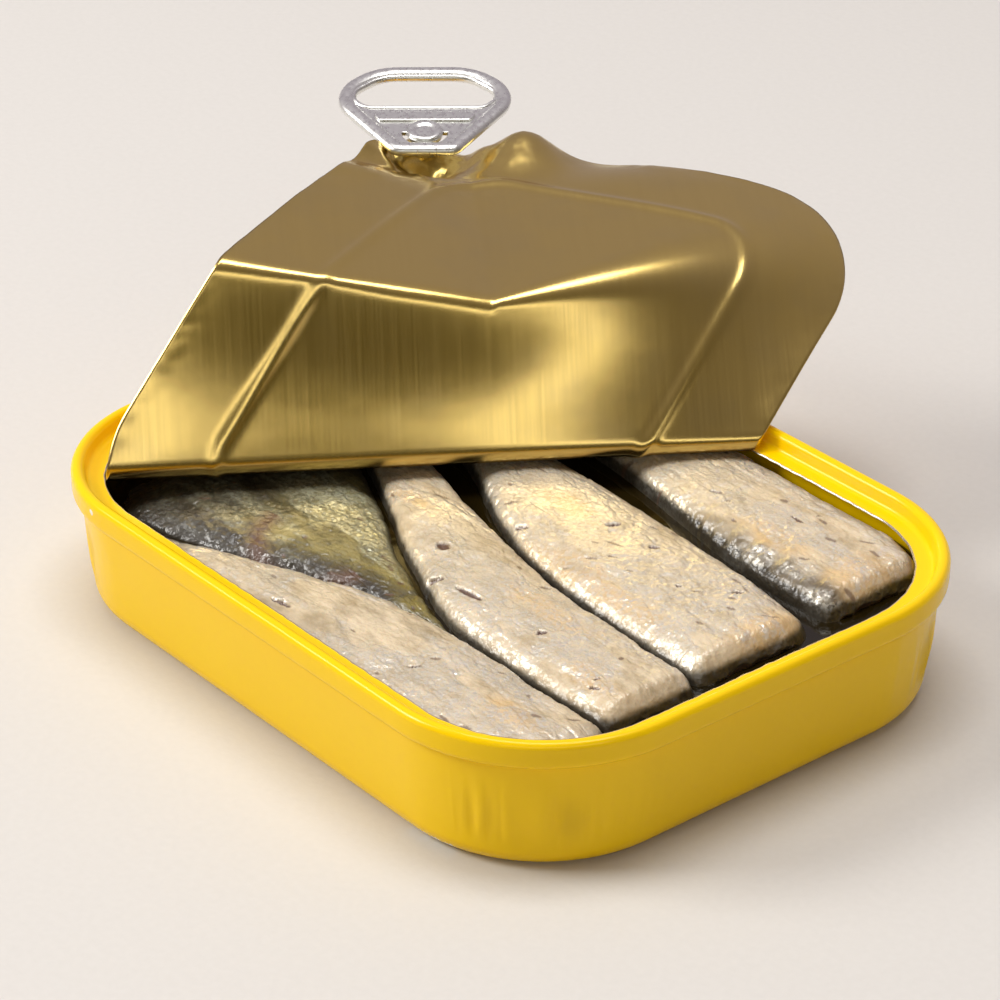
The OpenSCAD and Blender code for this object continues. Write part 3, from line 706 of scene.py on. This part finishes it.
def rolled_edge_tree():
    """A bar of oval section follows the line that it is given."""
    group = bpy.data.node_groups.new("rolled edge", "GeometryNodeTree")
    face = group.interface
    face.new_socket("Line", in_out="INPUT", socket_type="NodeSocketGeometry")
    for name, value in (("Edge Width", TAB_EDGE * MM), ("Edge Height", TAB_HEIGHT * MM)):
        face.new_socket(name, in_out="INPUT", socket_type="NodeSocketFloat").default_value = value
    face.new_socket("Finish", in_out="INPUT", socket_type="NodeSocketMaterial")
    face.new_socket("Edge", in_out="OUTPUT", socket_type="NodeSocketGeometry")
    start, end = add_node(group, "NodeGroupInput"), add_node(group, "NodeGroupOutput")
    path = add_node(group, "GeometryNodeMeshToCurve", {"Mesh": start.outputs["Line"]})
    upright = add_node(group, "GeometryNodeSetCurveNormal", {"Curve": path.outputs[0]}, mode="Z_UP")
    oval = add_node(group, "GeometryNodeCurvePrimitiveCircle", {"Resolution": 24, "Radius": 0.5})
    size = add_node(group, "ShaderNodeCombineXYZ",
                    {2: 1.0, 0: start.outputs["Edge Width"], 1: start.outputs["Edge Height"]})
    scaled = add_node(group, "GeometryNodeTransform",
                      {"Geometry": oval.outputs[0], "Scale": size.outputs[0]})
    sweep = add_node(group, "GeometryNodeCurveToMesh",
                     {"Curve": upright.outputs[0], "Profile Curve": scaled.outputs[0]})
    whole = add_node(group, "GeometryNodeRealizeInstances", {0: sweep.outputs[0]})
    coat = add_node(group, "GeometryNodeSetMaterial",
                    {"Geometry": whole.outputs[0], "Material": start.outputs["Finish"]})
    link(group, coat.outputs[0], end.inputs[0])
    return group


def line_mesh(name, line):
    mesh = bpy.data.meshes.new(name)
    mesh.from_pydata([(x * MM, y * MM, 0) for x, y in line],
                     [(k, (k + 1) % len(line)) for k in range(len(line))], [])
    return mesh


pressed, tree, shader = new_material("pressed aluminium")
spot = add_node(tree, "ShaderNodeTexCoord")
strip = add_node(tree, "ShaderNodeMapping",
                 {"Scale": (1400.0, 1400.0, 300.0), "Rotation": (0, 0, 0.9),
                  "Vector": spot.outputs["Object"]})
draw = add_node(tree, "ShaderNodeTexNoise", {"Scale": 1.0, "Detail": 3.0, "Vector": strip.outputs[0]})
silver = add_node(tree, "ShaderNodeMixRGB",
                  {1: (0.70, 0.70, 0.67, 1), 2: (0.88, 0.88, 0.85, 1), 0: draw.outputs["Fac"]})
link(tree, silver.outputs[0], shader.inputs["Base Color"])
set_shader(shader, metallic=1.0)
dull = add_node(tree, "ShaderNodeMapRange", {1: 0.3, 2: 0.7, 3: 0.24, 4: 0.36, 0: draw.outputs["Fac"]})
link(tree, dull.outputs[0], shader.inputs["Roughness"])

edge_line = evenly(rounded(shrunk(tab_corners, TAB_EDGE / 2)))
tab_parts = [run_nodes("tab_edge", line_mesh("edge_line", [tuple(q) for q in edge_line]),
                       rolled_edge_tree(), Finish=pressed)]


def flat_part(name, outlines, thickness, round_edge):
    """A flat stamped part with rounded edges, its middle at height 0."""
    curve = bpy.data.curves.new(name, "CURVE")
    curve.dimensions, curve.fill_mode = "2D", "BOTH"
    curve.extrude, curve.bevel_depth, curve.bevel_resolution = (
        (thickness / 2 - round_edge) * MM, round_edge * MM, 3)
    curve.offset = -round_edge * MM
    for outline in outlines:
        spline = curve.splines.new("POLY")
        spline.points.add(len(outline) - 1)
        for point, (x, y) in zip(spline.points, outline):
            point.co = (x * MM, y * MM, 0, 1)
        spline.use_cyclic_u = True
    holder = bpy.data.objects.new(name, curve)
    bpy.context.collection.objects.link(holder)
    bpy.context.view_layer.update()
    graph = bpy.context.evaluated_depsgraph_get()
    mesh = bpy.data.meshes.new_from_object(holder.evaluated_get(graph), depsgraph=graph)
    bpy.data.objects.remove(holder)
    mesh.materials.clear()
    mesh.materials.append(pressed)
    return mesh


ring_inside = shrunk(tab_corners, TAB_EDGE)
hole_line = rounded([(-hole_half, HOLE_AT, 2.4), (hole_half, HOLE_AT, 2.4), (*ring_inside[2][:2], 2.8),
                     ring_inside[3], ring_inside[4], (*ring_inside[5][:2], 2.8)], 12)
half_turn = np.linspace(math.pi, 2 * math.pi, 28)
tongue_cut = [(r * math.cos(t), RIVET_AT + r * math.sin(t))
              for r, turns in ((3.2, half_turn), (2.5, half_turn[::-1])) for t in turns]
web = flat_part("tab_web", [rounded(shrunk(tab_corners, TAB_EDGE * 0.55)), hole_line, tongue_cut],
                TAB_SHEET, 0.16)
band_shape = rounded([(-hole_half * 0.78, HOLE_AT - 3.6, 0.8), (hole_half * 0.78, HOLE_AT - 3.6, 0.8),
                      (hole_half * 0.92, HOLE_AT - 1.3, 0.8), (-hole_half * 0.92, HOLE_AT - 1.3, 0.8)], 6)
band = flat_part("tab_band", [band_shape], 0.5, 0.24)
tongue = flat_part("tab_tongue", [[(2.35 * math.cos(t), RIVET_AT + 2.35 * math.sin(t))
                                   for t in np.linspace(0, 2 * math.pi, 48, endpoint=False)]], 0.34, 0.16)
band.transform(Matrix.Translation((0, 0, 0.42 * MM)))
tongue.transform(Matrix.Translation((0, 0, 0.40 * MM)))
lip_line = evenly(hole_line, 0.3)
lip = run_nodes("tab_lip", line_mesh("lip_line", [tuple(q) for q in lip_line]),
                bpy.data.node_groups["rolled edge"], Finish=pressed,
                **{"Edge Width": 0.9 * MM, "Edge Height": 1.1 * MM})
tab_parts += [web, band, tongue, lip]

TAB_TURN, TAB_RISE = 51.31, 10.0
TAB_ABOVE, RIVET_BACK, RIVET_SIDE = 1.95, 3.6, 0.4
rivet_s, rivet_a = lid_reach - RIVET_BACK, np.array([tab_a + RIVET_SIDE])
rivet_out, rivet_up = gone(rivet_s, rivet_a)
rivet_slope, rivet_push = np.radians(lid_slope(rivet_s, rivet_a)), -corner_push(rivet_s, rivet_a)
rivet_plan = FOLD_START + along * rivet_a + out * (rivet_out + rivet_push * np.sin(rivet_slope))
rivet_base = Vector((*rivet_plan, (LEDGE_Z + rivet_up - rivet_push * np.cos(rivet_slope))[0] + TAB_ABOVE))
at_corner = (Matrix.Translation(rivet_base * MM) @ Matrix.Rotation(math.radians(TAB_TURN), 4, "Z")
             @ Matrix.Rotation(math.radians(TAB_RISE), 4, "X") @ Matrix.Translation((0, -RIVET_AT * MM, 0)))


def joined(name, meshes, move, finish):
    """Several meshes as one, moved into place."""
    points, faces = [], []
    for mesh in meshes:
        base = len(points)
        points += [move @ v.co for v in mesh.vertices]
        faces += [[base + v for v in face.vertices] for face in mesh.polygons]
    whole = bpy.data.meshes.new(name)
    whole.from_pydata(points, [], faces)
    whole.materials.append(finish)
    whole.update()
    return whole


for part in tab_parts:
    face_outwards(part)
tab_middle = Matrix.Translation((0, 0, TAB_HEIGHT / 2 * MM))
tab_mesh = joined("pull_tab_pressed", tab_parts, at_corner @ tab_middle, pressed)
add_piece("pull_tab_pressed", tab_mesh, "bare_metal", "pull_tab")


def turned_mesh(name, outline, sides=48):
    """A solid of revolution about Z, from (radius, height) points that start and end on the axis."""
    points, faces = [], []
    for r, z in outline[1:-1]:
        points += [(r * MM * math.cos(2 * math.pi * k / sides), r * MM * math.sin(2 * math.pi * k / sides),
                    z * MM) for k in range(sides)]
    for i in range(len(outline) - 3):
        for k in range(sides):
            q, n = i * sides + k, i * sides + (k + 1) % sides
            faces.append((q, n, n + sides, q + sides))
    points += [(0, 0, outline[0][1] * MM), (0, 0, outline[-1][1] * MM)]
    low, high = len(points) - 2, len(points) - 1
    top = (len(outline) - 3) * sides
    for k in range(sides):
        faces.append((low, (k + 1) % sides, k))
        faces.append((high, top + k, top + (k + 1) % sides))
    mesh = bpy.data.meshes.new(name)
    mesh.from_pydata(points, [], faces)
    return mesh


head = TAB_SHEET + 0.45
rivet_outline = [(0, -2.0), (1.9, -2.0), (1.8, -1.5), (1.8, head), (2.25, head), (2.42, head + 0.08),
                 (2.45, head + 0.24), (2.3, head + 0.40), (1.9, head + 0.48), (1.5, head + 0.42),
                 (1.2, head + 0.20), (0.6, head + 0.12), (0, head + 0.12)]
rivet = turned_mesh("rivet", rivet_outline)
rivet.transform(at_corner @ Matrix.Translation((0, RIVET_AT * MM, 0)))
rivet.materials.append(pressed)
face_outwards(rivet)
add_piece("rivet", rivet, "bare_metal")

# ---- Fish --------------------------------------------------------------------------------------------
# Five cooked fish without heads, packed side by side with their cut ends to the right. The skin is
# thin, silvery and wet; it has split and peeled in places, which bares beige and orange flesh.

FISH_GAP, WALL_GAP = 0.02, 0.4
FLOOR_Z = FLOOR_RISE + WALL
ROOM = LEDGE_Z - END_SHEET - FLOOR_Z
IN_X = CAN_LENGTH / 2 - FOOT_IN - WALL - WALL_GAP
IN_Y = CAN_WIDTH / 2 - FOOT_IN - WALL - WALL_GAP
IN_R = CORNER - FOOT_IN - WALL - WALL_GAP
CREST = (0.93, 0.90, 0.94, 0.96, 0.97)
FISH_START = (-0.78, -0.88, -0.84, -0.82, -0.80)
FISH_END = (0.93, 0.30, 0.88, 0.86, 0.84)
START_TAPER = (0.55, 0.16, 0.35, 0.3, 0.3)
END_TAPER = (0.05, 0.55, 0.03, 0.03, 0.03)


def wall_at(x):
    past = np.maximum(np.abs(x) - (IN_X - IN_R), 0)
    return IN_Y - IN_R + np.sqrt(np.maximum(IN_R * IN_R - past * past, 0))


def uneven(u, seed):
    """Small bends of the line along which two fish press together."""
    return 0.010 * rough_noise(u * 50, u * 0, 7, seed) + 0.004 * rough_noise(u * 50, u * 0, 1.6, seed + 3)


def side_12(u):
    return between(-0.90, -0.52, smooth((u + 0.85) / 1.12)) + uneven(u, 61)


def side_23(u):
    return between(0.03, -0.52, smooth((u + 0.85) / 1.28)) + uneven(u, 66)


def side_34(u):
    return between(0.19, -0.11, smooth((u + 0.85) / 1.44)) + uneven(u, 71)


FISH_SIDES = (
    (lambda u: -1 + 0 * u, side_12),
    (side_12, side_23),
    (lambda u: np.maximum(side_23(u), side_12(u)), side_34),
    (lambda u: side_34(u) + 0.12 * (1 - smooth((u + 0.45) / 0.6)), lambda u: 0.48 - 0.12 * u * u),
    (lambda u: between(0.64, 0.47, smooth((u + 0.3) / 1)), lambda u: 1 + 0 * u))

# Splits and pits in the skin: fish, x, y, half length, half width, heading, depth
GASHES = ((0, -2.5, -33.0, 1.6, 0.45, 10, 0.5), (0, 20.0, -30.0, 0.8, 0.3, 60, 0.3),
          (0, -14.0, -35.0, 0.9, 0.35, 20, 0.3), (2, 11.1, -14.2, 2.3, 0.6, 5, 0.6),
          (2, 5.1, -14.8, 1.2, 0.45, 30, 0.5), (2, 0.0, -9.4, 1.1, 0.9, 0, 0.35),
          (2, 24.0, -13.6, 0.8, 0.5, 60, 0.4), (2, 37.2, -16.6, 0.9, 0.35, 20, 0.4),
          (2, 36.2, -15.2, 0.5, 0.3, 80, 0.3), (3, 2.0, 1.7, 1.0, 0.4, 20, 0.4),
          (3, 9.9, 10.4, 1.1, 0.45, 70, 0.5), (3, 17.6, 10.5, 0.8, 0.4, 40, 0.4),
          (3, 32.1, 11.1, 1.0, 0.45, 60, 0.4), (3, 26.5, 6.5, 0.5, 0.3, 10, 0.3),
          (4, 24.0, 29.0, 1.4, 0.3, 5, 0.3), (4, 12.0, 26.0, 0.9, 0.35, 30, 0.35))
# Patches where bare flesh shows orange: fish, x, y, half length, half width
GOLD_PATCHES = ((0, 36.0, -27.5, 5.5, 2.4), (2, 36.0, -15.5, 5.0, 2.0), (2, -12.0, -4.5, 5.0, 1.4),
                (3, 14.0, -0.2, 9.0, 2.4), (3, 24.5, -0.8, 8.0, 2.2), (3, 40.0, 8.0, 2.6, 6.0),
                (3, 2.0, 9.0, 5.0, 2.5), (4, 38.5, 26.0, 4.5, 7.0), (4, 25.0, 24.0, 7.0, 2.4),
                (2, 20.0, -9.5, 9.0, 2.0))


def spot_field(x, y, place):
    """1 at the middle of an oval place on the fish, falling to 0 round it."""
    cx, cy, half_long, half_wide, heading = place
    turn = math.radians(heading)
    u = (x - cx) * math.cos(turn) + (y - cy) * math.sin(turn)
    v = (y - cy) * math.cos(turn) - (x - cx) * math.sin(turn)
    return bump(np.hypot(u / half_long, v / half_wide))


def fish_material(name, skin, shade, flesh, metal):
    """Wet skin: silver over a darker tone, with bare flesh, blood marks, and painted shade with some darker
    skin, where they are painted.
    """
    material, tree, shader = new_material(name)
    spot = add_node(tree, "ShaderNodeTexCoord")
    stretched = add_node(tree, "ShaderNodeMapping",
                         {"Scale": (260.0, 420.0, 420.0), "Vector": spot.outputs["Object"]})
    mottle = add_node(tree, "ShaderNodeTexNoise",
                      {"Scale": 1.0, "Detail": 5.0, "Roughness": 0.62, "Vector": stretched.outputs[0]})
    base = add_node(tree, "ShaderNodeMixRGB", {1: (*skin, 1), 2: (*shade, 1)})
    spread = add_node(tree, "ShaderNodeMapRange", {1: 0.40, 2: 0.66, 0: mottle.outputs["Fac"]})
    link(tree, spread.outputs[0], base.inputs[0])
    colour = base.outputs[0]
    # The 'back' attribute is painted shade in near black, low on the sides and between the fish, with some
    # darker skin at random
    for field, tint in (("gold", flesh), ("back", (0.035, 0.028, 0.018)), ("blood", (0.115, 0.060, 0.038))):
        paint = add_node(tree, "ShaderNodeAttribute", attribute_name=field)
        coat = add_node(tree, "ShaderNodeMixRGB", {2: (*tint, 1), 0: paint.outputs["Fac"], 1: colour})
        colour = coat.outputs[0]
    foil = add_node(tree, "ShaderNodeTexVoronoi",
                    {"Scale": 2300.0, "Randomness": 1.0, "Vector": spot.outputs["Object"]})
    apart = add_node(tree, "ShaderNodeSeparateColor", {0: foil.outputs["Color"]})
    fleck = add_node(tree, "ShaderNodeMapRange", {1: 0.2, 2: 1.0, 3: 0.15, 4: 0.88, 0: apart.outputs[0]})
    silver = add_node(tree, "ShaderNodeAttribute", attribute_name="silver")
    shine = add_node(tree, "ShaderNodeMath",
                     {0: fleck.outputs[0], 1: silver.outputs["Fac"]}, operation="MULTIPLY")
    bright = add_node(tree, "ShaderNodeMixRGB", {2: (*metal, 1), 0: shine.outputs[0], 1: colour})
    link(tree, bright.outputs[0], shader.inputs["Base Color"])
    metal_share = add_node(tree, "ShaderNodeMath", {1: 0.9, 0: shine.outputs[0]}, operation="MULTIPLY")
    link(tree, metal_share.outputs[0], shader.inputs["Metallic"])
    gloss = add_node(tree, "ShaderNodeMapRange",
                     {1: 0.3, 2: 0.7, 3: 0.26, 4: 0.46, 0: mottle.outputs["Fac"]})
    link(tree, gloss.outputs[0], shader.inputs["Roughness"])
    set_shader(shader, subsurface_weight=0.12, subsurface_radius=(0.0012, 0.0006, 0.0003),
               subsurface_scale=1.0, coat_weight=0.45, coat_roughness=0.12)
    fine = add_node(tree, "ShaderNodeTexNoise",
                    {"Scale": 1500.0, "Detail": 3.0, "Vector": spot.outputs["Object"]})
    skin_bump = add_node(tree, "ShaderNodeBump",
                         {"Strength": 0.75, "Distance": 0.0002, "Height": fine.outputs["Fac"]})
    link(tree, skin_bump.outputs["Normal"], shader.inputs["Normal"])
    link(tree, skin_bump.outputs["Normal"], shader.inputs["Coat Normal"])
    return material


pale_skin = fish_material("pale fish skin", (0.70, 0.58, 0.40), (0.46, 0.36, 0.22), (0.72, 0.47, 0.19),
                          (0.86, 0.83, 0.74))
dark_skin = fish_material("dark fish skin", (0.26, 0.22, 0.09), (0.07, 0.06, 0.025), (0.40, 0.30, 0.03),
                          (0.74, 0.74, 0.54))

# The top of a fish has far more points across it than its sides and belly, which don't show
BOXY, fish_rows = 0.30, 400
across_top = np.linspace(0.975, -0.975, 118)
turn_top = np.arccos(np.sign(across_top) * np.abs(across_top) ** (1 / BOXY))
turn_right = np.linspace(math.radians(-75), turn_top[0], 18, endpoint=False)
turn_left = np.linspace(turn_top[-1], math.radians(255), 18)[1:]
turn_under = np.radians(np.linspace(255, 285, 5)[1:-1])
fish_turn = np.concatenate([turn_right, turn_top, turn_left, turn_under])


SLIM = (0.86, 0.97, 0.9, 0.9, 0.9)
WRINKLE, LONG_FOLD, CREASE_DEPTH, SKIN_THICKNESS = 0.05, 0.07, 0.07, 0.09
HOLLOW, PORE, FLAKE, DOME, SIDE_LINE = 0.18, 0.055, 0.09, 0.80, 0.07
MARKS_A_FISH, SCALE_DEPTH, TORN_SKIN, END_WEAR, RINGS_IN = 34, 0.10, 0.55, 0.45, 26


def fish_form(k, t, turn):
    """Point of fish k at share t of its length and a turn round its middle, with its side direction."""
    u = between(FISH_START[k], FISH_END[k], t)
    x = u * IN_X
    length = FISH_END[k] - FISH_START[k]
    swell = (np.sqrt(smooth(0.02 + t * length / (2 * START_TAPER[k])))
             * np.sqrt(smooth(0.02 + (1 - t) * length / (2 * END_TAPER[k]))))
    low, high = FISH_SIDES[k]
    wall = wall_at(x)
    lo = np.maximum(low(u) * IN_Y + FISH_GAP / 2, -wall)
    hi = np.minimum(high(u) * IN_Y - FISH_GAP / 2, wall)
    half = (hi - lo) / 2 * between(SLIM[k], 1, swell)
    tall = ROOM * CREST[k] / 2 * between(0.8, 1, swell)
    c, s = np.cos(turn), np.sin(turn)
    c, s = np.sign(c) * np.abs(c) ** BOXY, np.sign(s) * np.abs(s) ** BOXY
    middle = (hi + lo) / 2
    return x + 0 * turn, middle + half * c, FLOOR_Z + tall * (1 + s), half, middle + 0 * turn


for k in range(5):
    t = np.linspace(0, 1, fish_rows)[:, None]
    t = smooth(t) * 0.35 + t * 0.65
    x, y, z, half, middle = fish_form(k, t, fish_turn[None, :])
    up_share = np.clip(np.sin(fish_turn)[None, :] * 1.6 + 0.1, 0, 1) + 0 * t
    across = (y - middle) / np.maximum(half, 0.1)
    # Skin relief: fine wrinkles across the body, longer folds along it, and shallow hollows
    seed = 100 + 20 * k
    chevron = x + 2.5 * np.abs(across)
    wrinkles = WRINKLE * rough_noise(chevron, y * 0.5, 1.0, seed)
    creases = np.abs(rough_noise(x * 0.30 + 0.25 * y, y, 2.2, seed + 7))
    folds_along = LONG_FOLD * rough_noise(x * 0.22, y, 1.2, seed + 5) - CREASE_DEPTH * bump(creases / 0.05)
    skin_on = smooth((rough_noise(x * 0.42, y, 4.5, seed + 37) + 0.12) / 0.10)
    folds_along = folds_along + SKIN_THICKNESS * skin_on
    hollows = HOLLOW * lattice_noise(x, y, 5.0, seed + 9)
    pores = PORE * rough_noise(x, y, 0.75, seed + 13, 2) * (1 - 0.75 * skin_on)
    dome = -DOME * np.abs(across) ** 2.2
    flakes = FLAKE * smooth(rough_noise(x * 0.55 + 0.2 * y, y, 1.5, seed + 43) / 0.10)
    relief = wrinkles + folds_along + hollows + pores + flakes + dome
    lateral = bump((across + 0.15 * np.sin(x / 14 + k)) / 0.06)
    relief = relief - SIDE_LINE * lateral * (0.5 + 0.5 * lattice_noise(x, y, 6, seed + 15))
    blood = np.zeros_like(x + y)
    scatter = np.random.default_rng(500 + k)
    for _ in range(MARKS_A_FISH):
        mark = spot_field(x, y, (scatter.uniform(-38, 46),
                                 scatter.uniform(middle.min() - 6, middle.max() + 6),
                                 scatter.uniform(0.35, 1.3), scatter.uniform(0.16, 0.38),
                                 scatter.uniform(-25, 55)))
        relief = relief - 0.10 * mark
        blood = np.maximum(blood, 0.75 * smooth((mark - 0.25) / 0.3))
    for fish, gx, gy, half_long, half_wide, heading, depth in GASHES:
        if fish == k:
            wobble = 0.25 * rough_noise(x, y, 0.9, seed + 17)
            mark = spot_field(x + wobble, y + wobble, (gx, gy, half_long, half_wide, heading))
            relief = relief - depth * mark + 0.18 * bump((mark - 0.25) / 0.12)
            blood = np.maximum(blood, smooth((mark - 0.30) / 0.25))
    if k == 1:
        scales = (np.abs(((x * 0.9 + y * 0.5) / 1.15 + 0.5 * np.floor((y - x * 0.4) / 0.8)) % 1 - 0.5)
                  + np.abs(((y - x * 0.4) / 0.8) % 1 - 0.5))
        relief = relief + SCALE_DEPTH * (0.5 - scales) * (0.6 + 0.4 * lattice_noise(x, y, 4, seed + 3))
    if k == 4:
        torn_skin = bump((y - 20.5) / 1.7) * smooth((x - 6) / 6) * (1 - smooth((x - 36) / 4))
        relief = relief + TORN_SKIN * torn_skin * rough_noise(x, y * 0.5, 1.8, seed + 19)
    end_wear = smooth((x - x.max() + 1.2) / 1.2)
    relief = relief + END_WEAR * end_wear * rough_noise(y, z, 1.1, seed + 21)
    relief = relief * (0.25 + 0.75 * up_share)
    side, rise = np.cos(fish_turn)[None, :], np.sin(fish_turn)[None, :]
    y = y + np.minimum(relief, 0.12) * side * 0.4
    z = np.minimum(z + relief * np.clip(rise * 1.5, -0.2, 1), FLOOR_Z + ROOM * CREST[k] + 0.15)
    x = x + 0.35 * end_wear * rough_noise(y, z, 2.2, seed + 23) - 0.35 * end_wear
    points = np.stack([x + 0 * y, y, z], axis=-1).reshape(-1, 3)
    sides = len(fish_turn)
    faces = []
    for i in range(fish_rows - 1):
        for j in range(sides):
            a, b = i * sides + j, i * sides + (j + 1) % sides
            faces.append((a, a + sides, b + sides, b))
    # Cut end: rings drawn in towards the backbone, with torn flesh between them
    last_ring = points[-sides:]
    centre = last_ring.mean(0)
    centre[2] -= 0.8
    base = (fish_rows - 1) * sides
    end_points, end_blood = [], []
    for i in range(1, RINGS_IN):
        share = 1 - i / RINGS_IN
        ring = centre + (last_ring - centre) * share
        ring[:, 0] = (last_ring[:, 0] * share + centre[0] * (1 - share) - 0.5 * math.sin(math.pi * share)
                      + 0.35 * rough_noise(ring[:, 1], ring[:, 2], 1.7, seed + 25)
                      * min(1, 4 * (1 - share)))
        end_points.append(ring)
        end_blood.append(np.clip(0.35 + 0.45 * rough_noise(ring[:, 1], ring[:, 2], 2.2, seed + 27)
                                 + 0.5 * bump((share - 0.15) / 0.2), 0, 1))
        start_ring = base if i == 1 else len(points) + (i - 2) * sides
        this_ring = len(points) + (i - 1) * sides
        for j in range(sides):
            n = (j + 1) % sides
            faces.append((start_ring + j, this_ring + j, this_ring + n, start_ring + n))
    all_points = np.concatenate([points] + end_points)
    last = len(all_points) - sides
    tip, nose_end = len(all_points), len(all_points) + 1
    all_points = np.concatenate([all_points, [all_points[last:].mean(0)], [points[:sides].mean(0)]])
    for j in range(sides):
        n = (j + 1) % sides
        faces.append((last + j, tip, last + n))
        faces.append((j, n, nose_end))
    mesh = bpy.data.meshes.new(f"fish_{k + 1}")
    mesh.from_pydata(all_points * MM, [], faces)
    mesh.update()
    px, py, pz = all_points.T
    blood_all = np.concatenate([blood.reshape(-1)] + end_blood + [[0.6, 0.2]])
    gold = np.zeros(len(px))
    for fish, gx, gy, half_long, half_wide in GOLD_PATCHES:
        if fish == k:
            edge = 0.9 * rough_noise(px, py, 3.0, seed + 31)
            patch = spot_field(px + edge, py + edge, (gx, gy, half_long, half_wide, 0))
            gold = np.maximum(gold, 0.55 * smooth(1.6 * patch - 0.25))
    # Painted shade: the sides below the crest, where the fish press together, are darkened to near black, and
    # random darker patches of skin are added
    crest_z = FLOOR_Z + ROOM * CREST[k]
    shade_below_crest = smooth(crest_z - 1.25 - pz)
    shade_and_dark_skin = np.clip(0.97 * shade_below_crest
                        + 0.25 * smooth(1.3 * rough_noise(px * 0.4, py, 3.0, seed + 33) - 0.1), 0, 1)
    # Fish 2: painted shade along its edge beside fish 1, darker towards its left end, gold towards its right
    # end, and a gill line
    if k == 1:
        under_line = side_12(px / IN_X) * IN_Y
        shade_and_dark_skin = np.clip(shade_and_dark_skin * 0.7 + 0.85 * smooth((-17 - px) / 12)
                            + 0.85 * smooth((under_line + 5.5 - py) / 3) * smooth((6 - px) / 10), 0, 1)
        gold = np.maximum(gold, 0.8 * smooth((px + 8) / 14)
                          * smooth(0.8 + rough_noise(px, py, 3, seed + 35)))
        gill = (np.abs(np.hypot(px + 12.8, py + 18.7) - 8.6)
                + 0.25 * np.abs(rough_noise(px, py, 2.0, seed + 41)))
        blood_all = np.maximum(blood_all, 0.95 * bump(gill / 1.5) * (py < -20.0))
    # Fish 5: painted shade high on its edge beside fish 4
    if k == 4:
        shade_and_dark_skin = np.clip(shade_and_dark_skin + 0.75 * smooth((23.5 - py) / 4) * smooth((pz - 9) / 4), 0, 1)
    # Fish 4: darker towards its left end
    if k == 3:
        shade_and_dark_skin = np.clip(shade_and_dark_skin + 0.4 * smooth((-2 - px) / 10), 0, 1)
    # Silver is taken away where the painted shade falls, low on the sides
    skin_left = smooth((rough_noise(px * 0.42, py, 4.5, seed + 37) + 0.30) / 0.22)
    silver = (skin_left * (1 - blood_all) * (1 - 0.9 * shade_below_crest)
              * (0.75 + 0.25 * lattice_noise(px, py, 1.5, seed + 39)))
    if k == 1:
        silver = silver * (1 - 0.9 * shade_and_dark_skin) * (1 - 0.55 * gold)
    # The 'back' attribute carries the painted shade together with the darker skin
    for name, values in (("gold", gold), ("back", shade_and_dark_skin), ("blood", blood_all), ("silver", silver)):
        mesh.attributes.new(name, "FLOAT", "POINT").data.foreach_set("value", values.astype(np.float32))
    mesh.materials.append(dark_skin if k == 1 else pale_skin)
    face_outwards(mesh)
    add_piece(f"fish_{k + 1}", mesh, "dark_fish" if k == 1 else "pale_fish", f"sardine_{k + 1}")

# ---- Oil ---------------------------------------------------------------------------------------------
# Dark oil fills the can to about three quarters of its depth. It stands between the fish and shows as a
# black pool under the fold. It creeps a little up the can's wall.

OIL_FILL, OIL_WALL_IN, OIL_RIPPLE, OIL_CREEP = 0.74, 1.9, 0.05, 0.5
OIL_Z = FLOOR_Z + OIL_FILL * ROOM
oil_finish, tree, shader = new_material("dark oil")
spot = add_node(tree, "ShaderNodeTexCoord")
cloud = add_node(tree, "ShaderNodeTexNoise",
                 {"Scale": 120.0, "Detail": 4.0, "Vector": spot.outputs["Object"]})
murk = add_node(tree, "ShaderNodeMixRGB",
                {1: (0.006, 0.004, 0.001, 1), 2: (0.022, 0.014, 0.003, 1), 0: cloud.outputs["Fac"]})
link(tree, murk.outputs[0], shader.inputs["Base Color"])
set_shader(shader, roughness=0.04, ior=1.47, specular_ior_level=0.35)

columns_x = np.linspace(-49.4, 49.4, 300)
rows_y = np.linspace(-1, 1, 230)
grid_x = np.repeat(columns_x[:, None], len(rows_y), axis=1)
reach_x = CAN_LENGTH / 2 - OIL_WALL_IN
reach_y = CAN_WIDTH / 2 - OIL_WALL_IN
reach_r = CORNER - OIL_WALL_IN
past = np.maximum(np.abs(grid_x) - (reach_x - reach_r), 0)
grid_y = rows_y[None, :] * (reach_y - reach_r + np.sqrt(np.maximum(reach_r ** 2 - past ** 2, 0)))
surface = OIL_Z + OIL_RIPPLE * rough_noise(grid_x, grid_y, 12, 301)
surface += OIL_CREEP * bump((np.abs(rows_y[None, :]) - 1) / 0.02)
low_level = np.full_like(surface, FLOOR_Z + 2.5)
top_points = np.stack([grid_x, grid_y, surface], -1).reshape(-1, 3)
low_points = np.stack([grid_x * 0.97, grid_y * 0.96, low_level], -1).reshape(-1, 3)
nx_grid, ny_grid = grid_x.shape
base = len(top_points)
faces = []
for i in range(nx_grid - 1):
    for j in range(ny_grid - 1):
        q = i * ny_grid + j
        faces.append((q, q + ny_grid, q + ny_grid + 1, q + 1))
rim = ([j for j in range(ny_grid)] + [i * ny_grid + ny_grid - 1 for i in range(1, nx_grid)]
       + [(nx_grid - 1) * ny_grid + j for j in range(ny_grid - 2, -1, -1)]
       + [i * ny_grid for i in range(nx_grid - 2, 0, -1)])
rim_low = [base + n for n in range(len(rim))]
all_points = np.concatenate([top_points, low_points[rim]])
for n in range(len(rim)):
    m = (n + 1) % len(rim)
    faces.append((rim[n], rim[m], rim_low[m], rim_low[n]))
faces.append(tuple(rim_low))
oil_mesh = bpy.data.meshes.new("oil_pool")
oil_mesh.from_pydata(all_points * MM, [], faces)
oil_mesh.update()
oil_mesh.materials.append(oil_finish)
face_outwards(oil_mesh)
add_piece("oil_pool", oil_mesh, "oil", "oil")
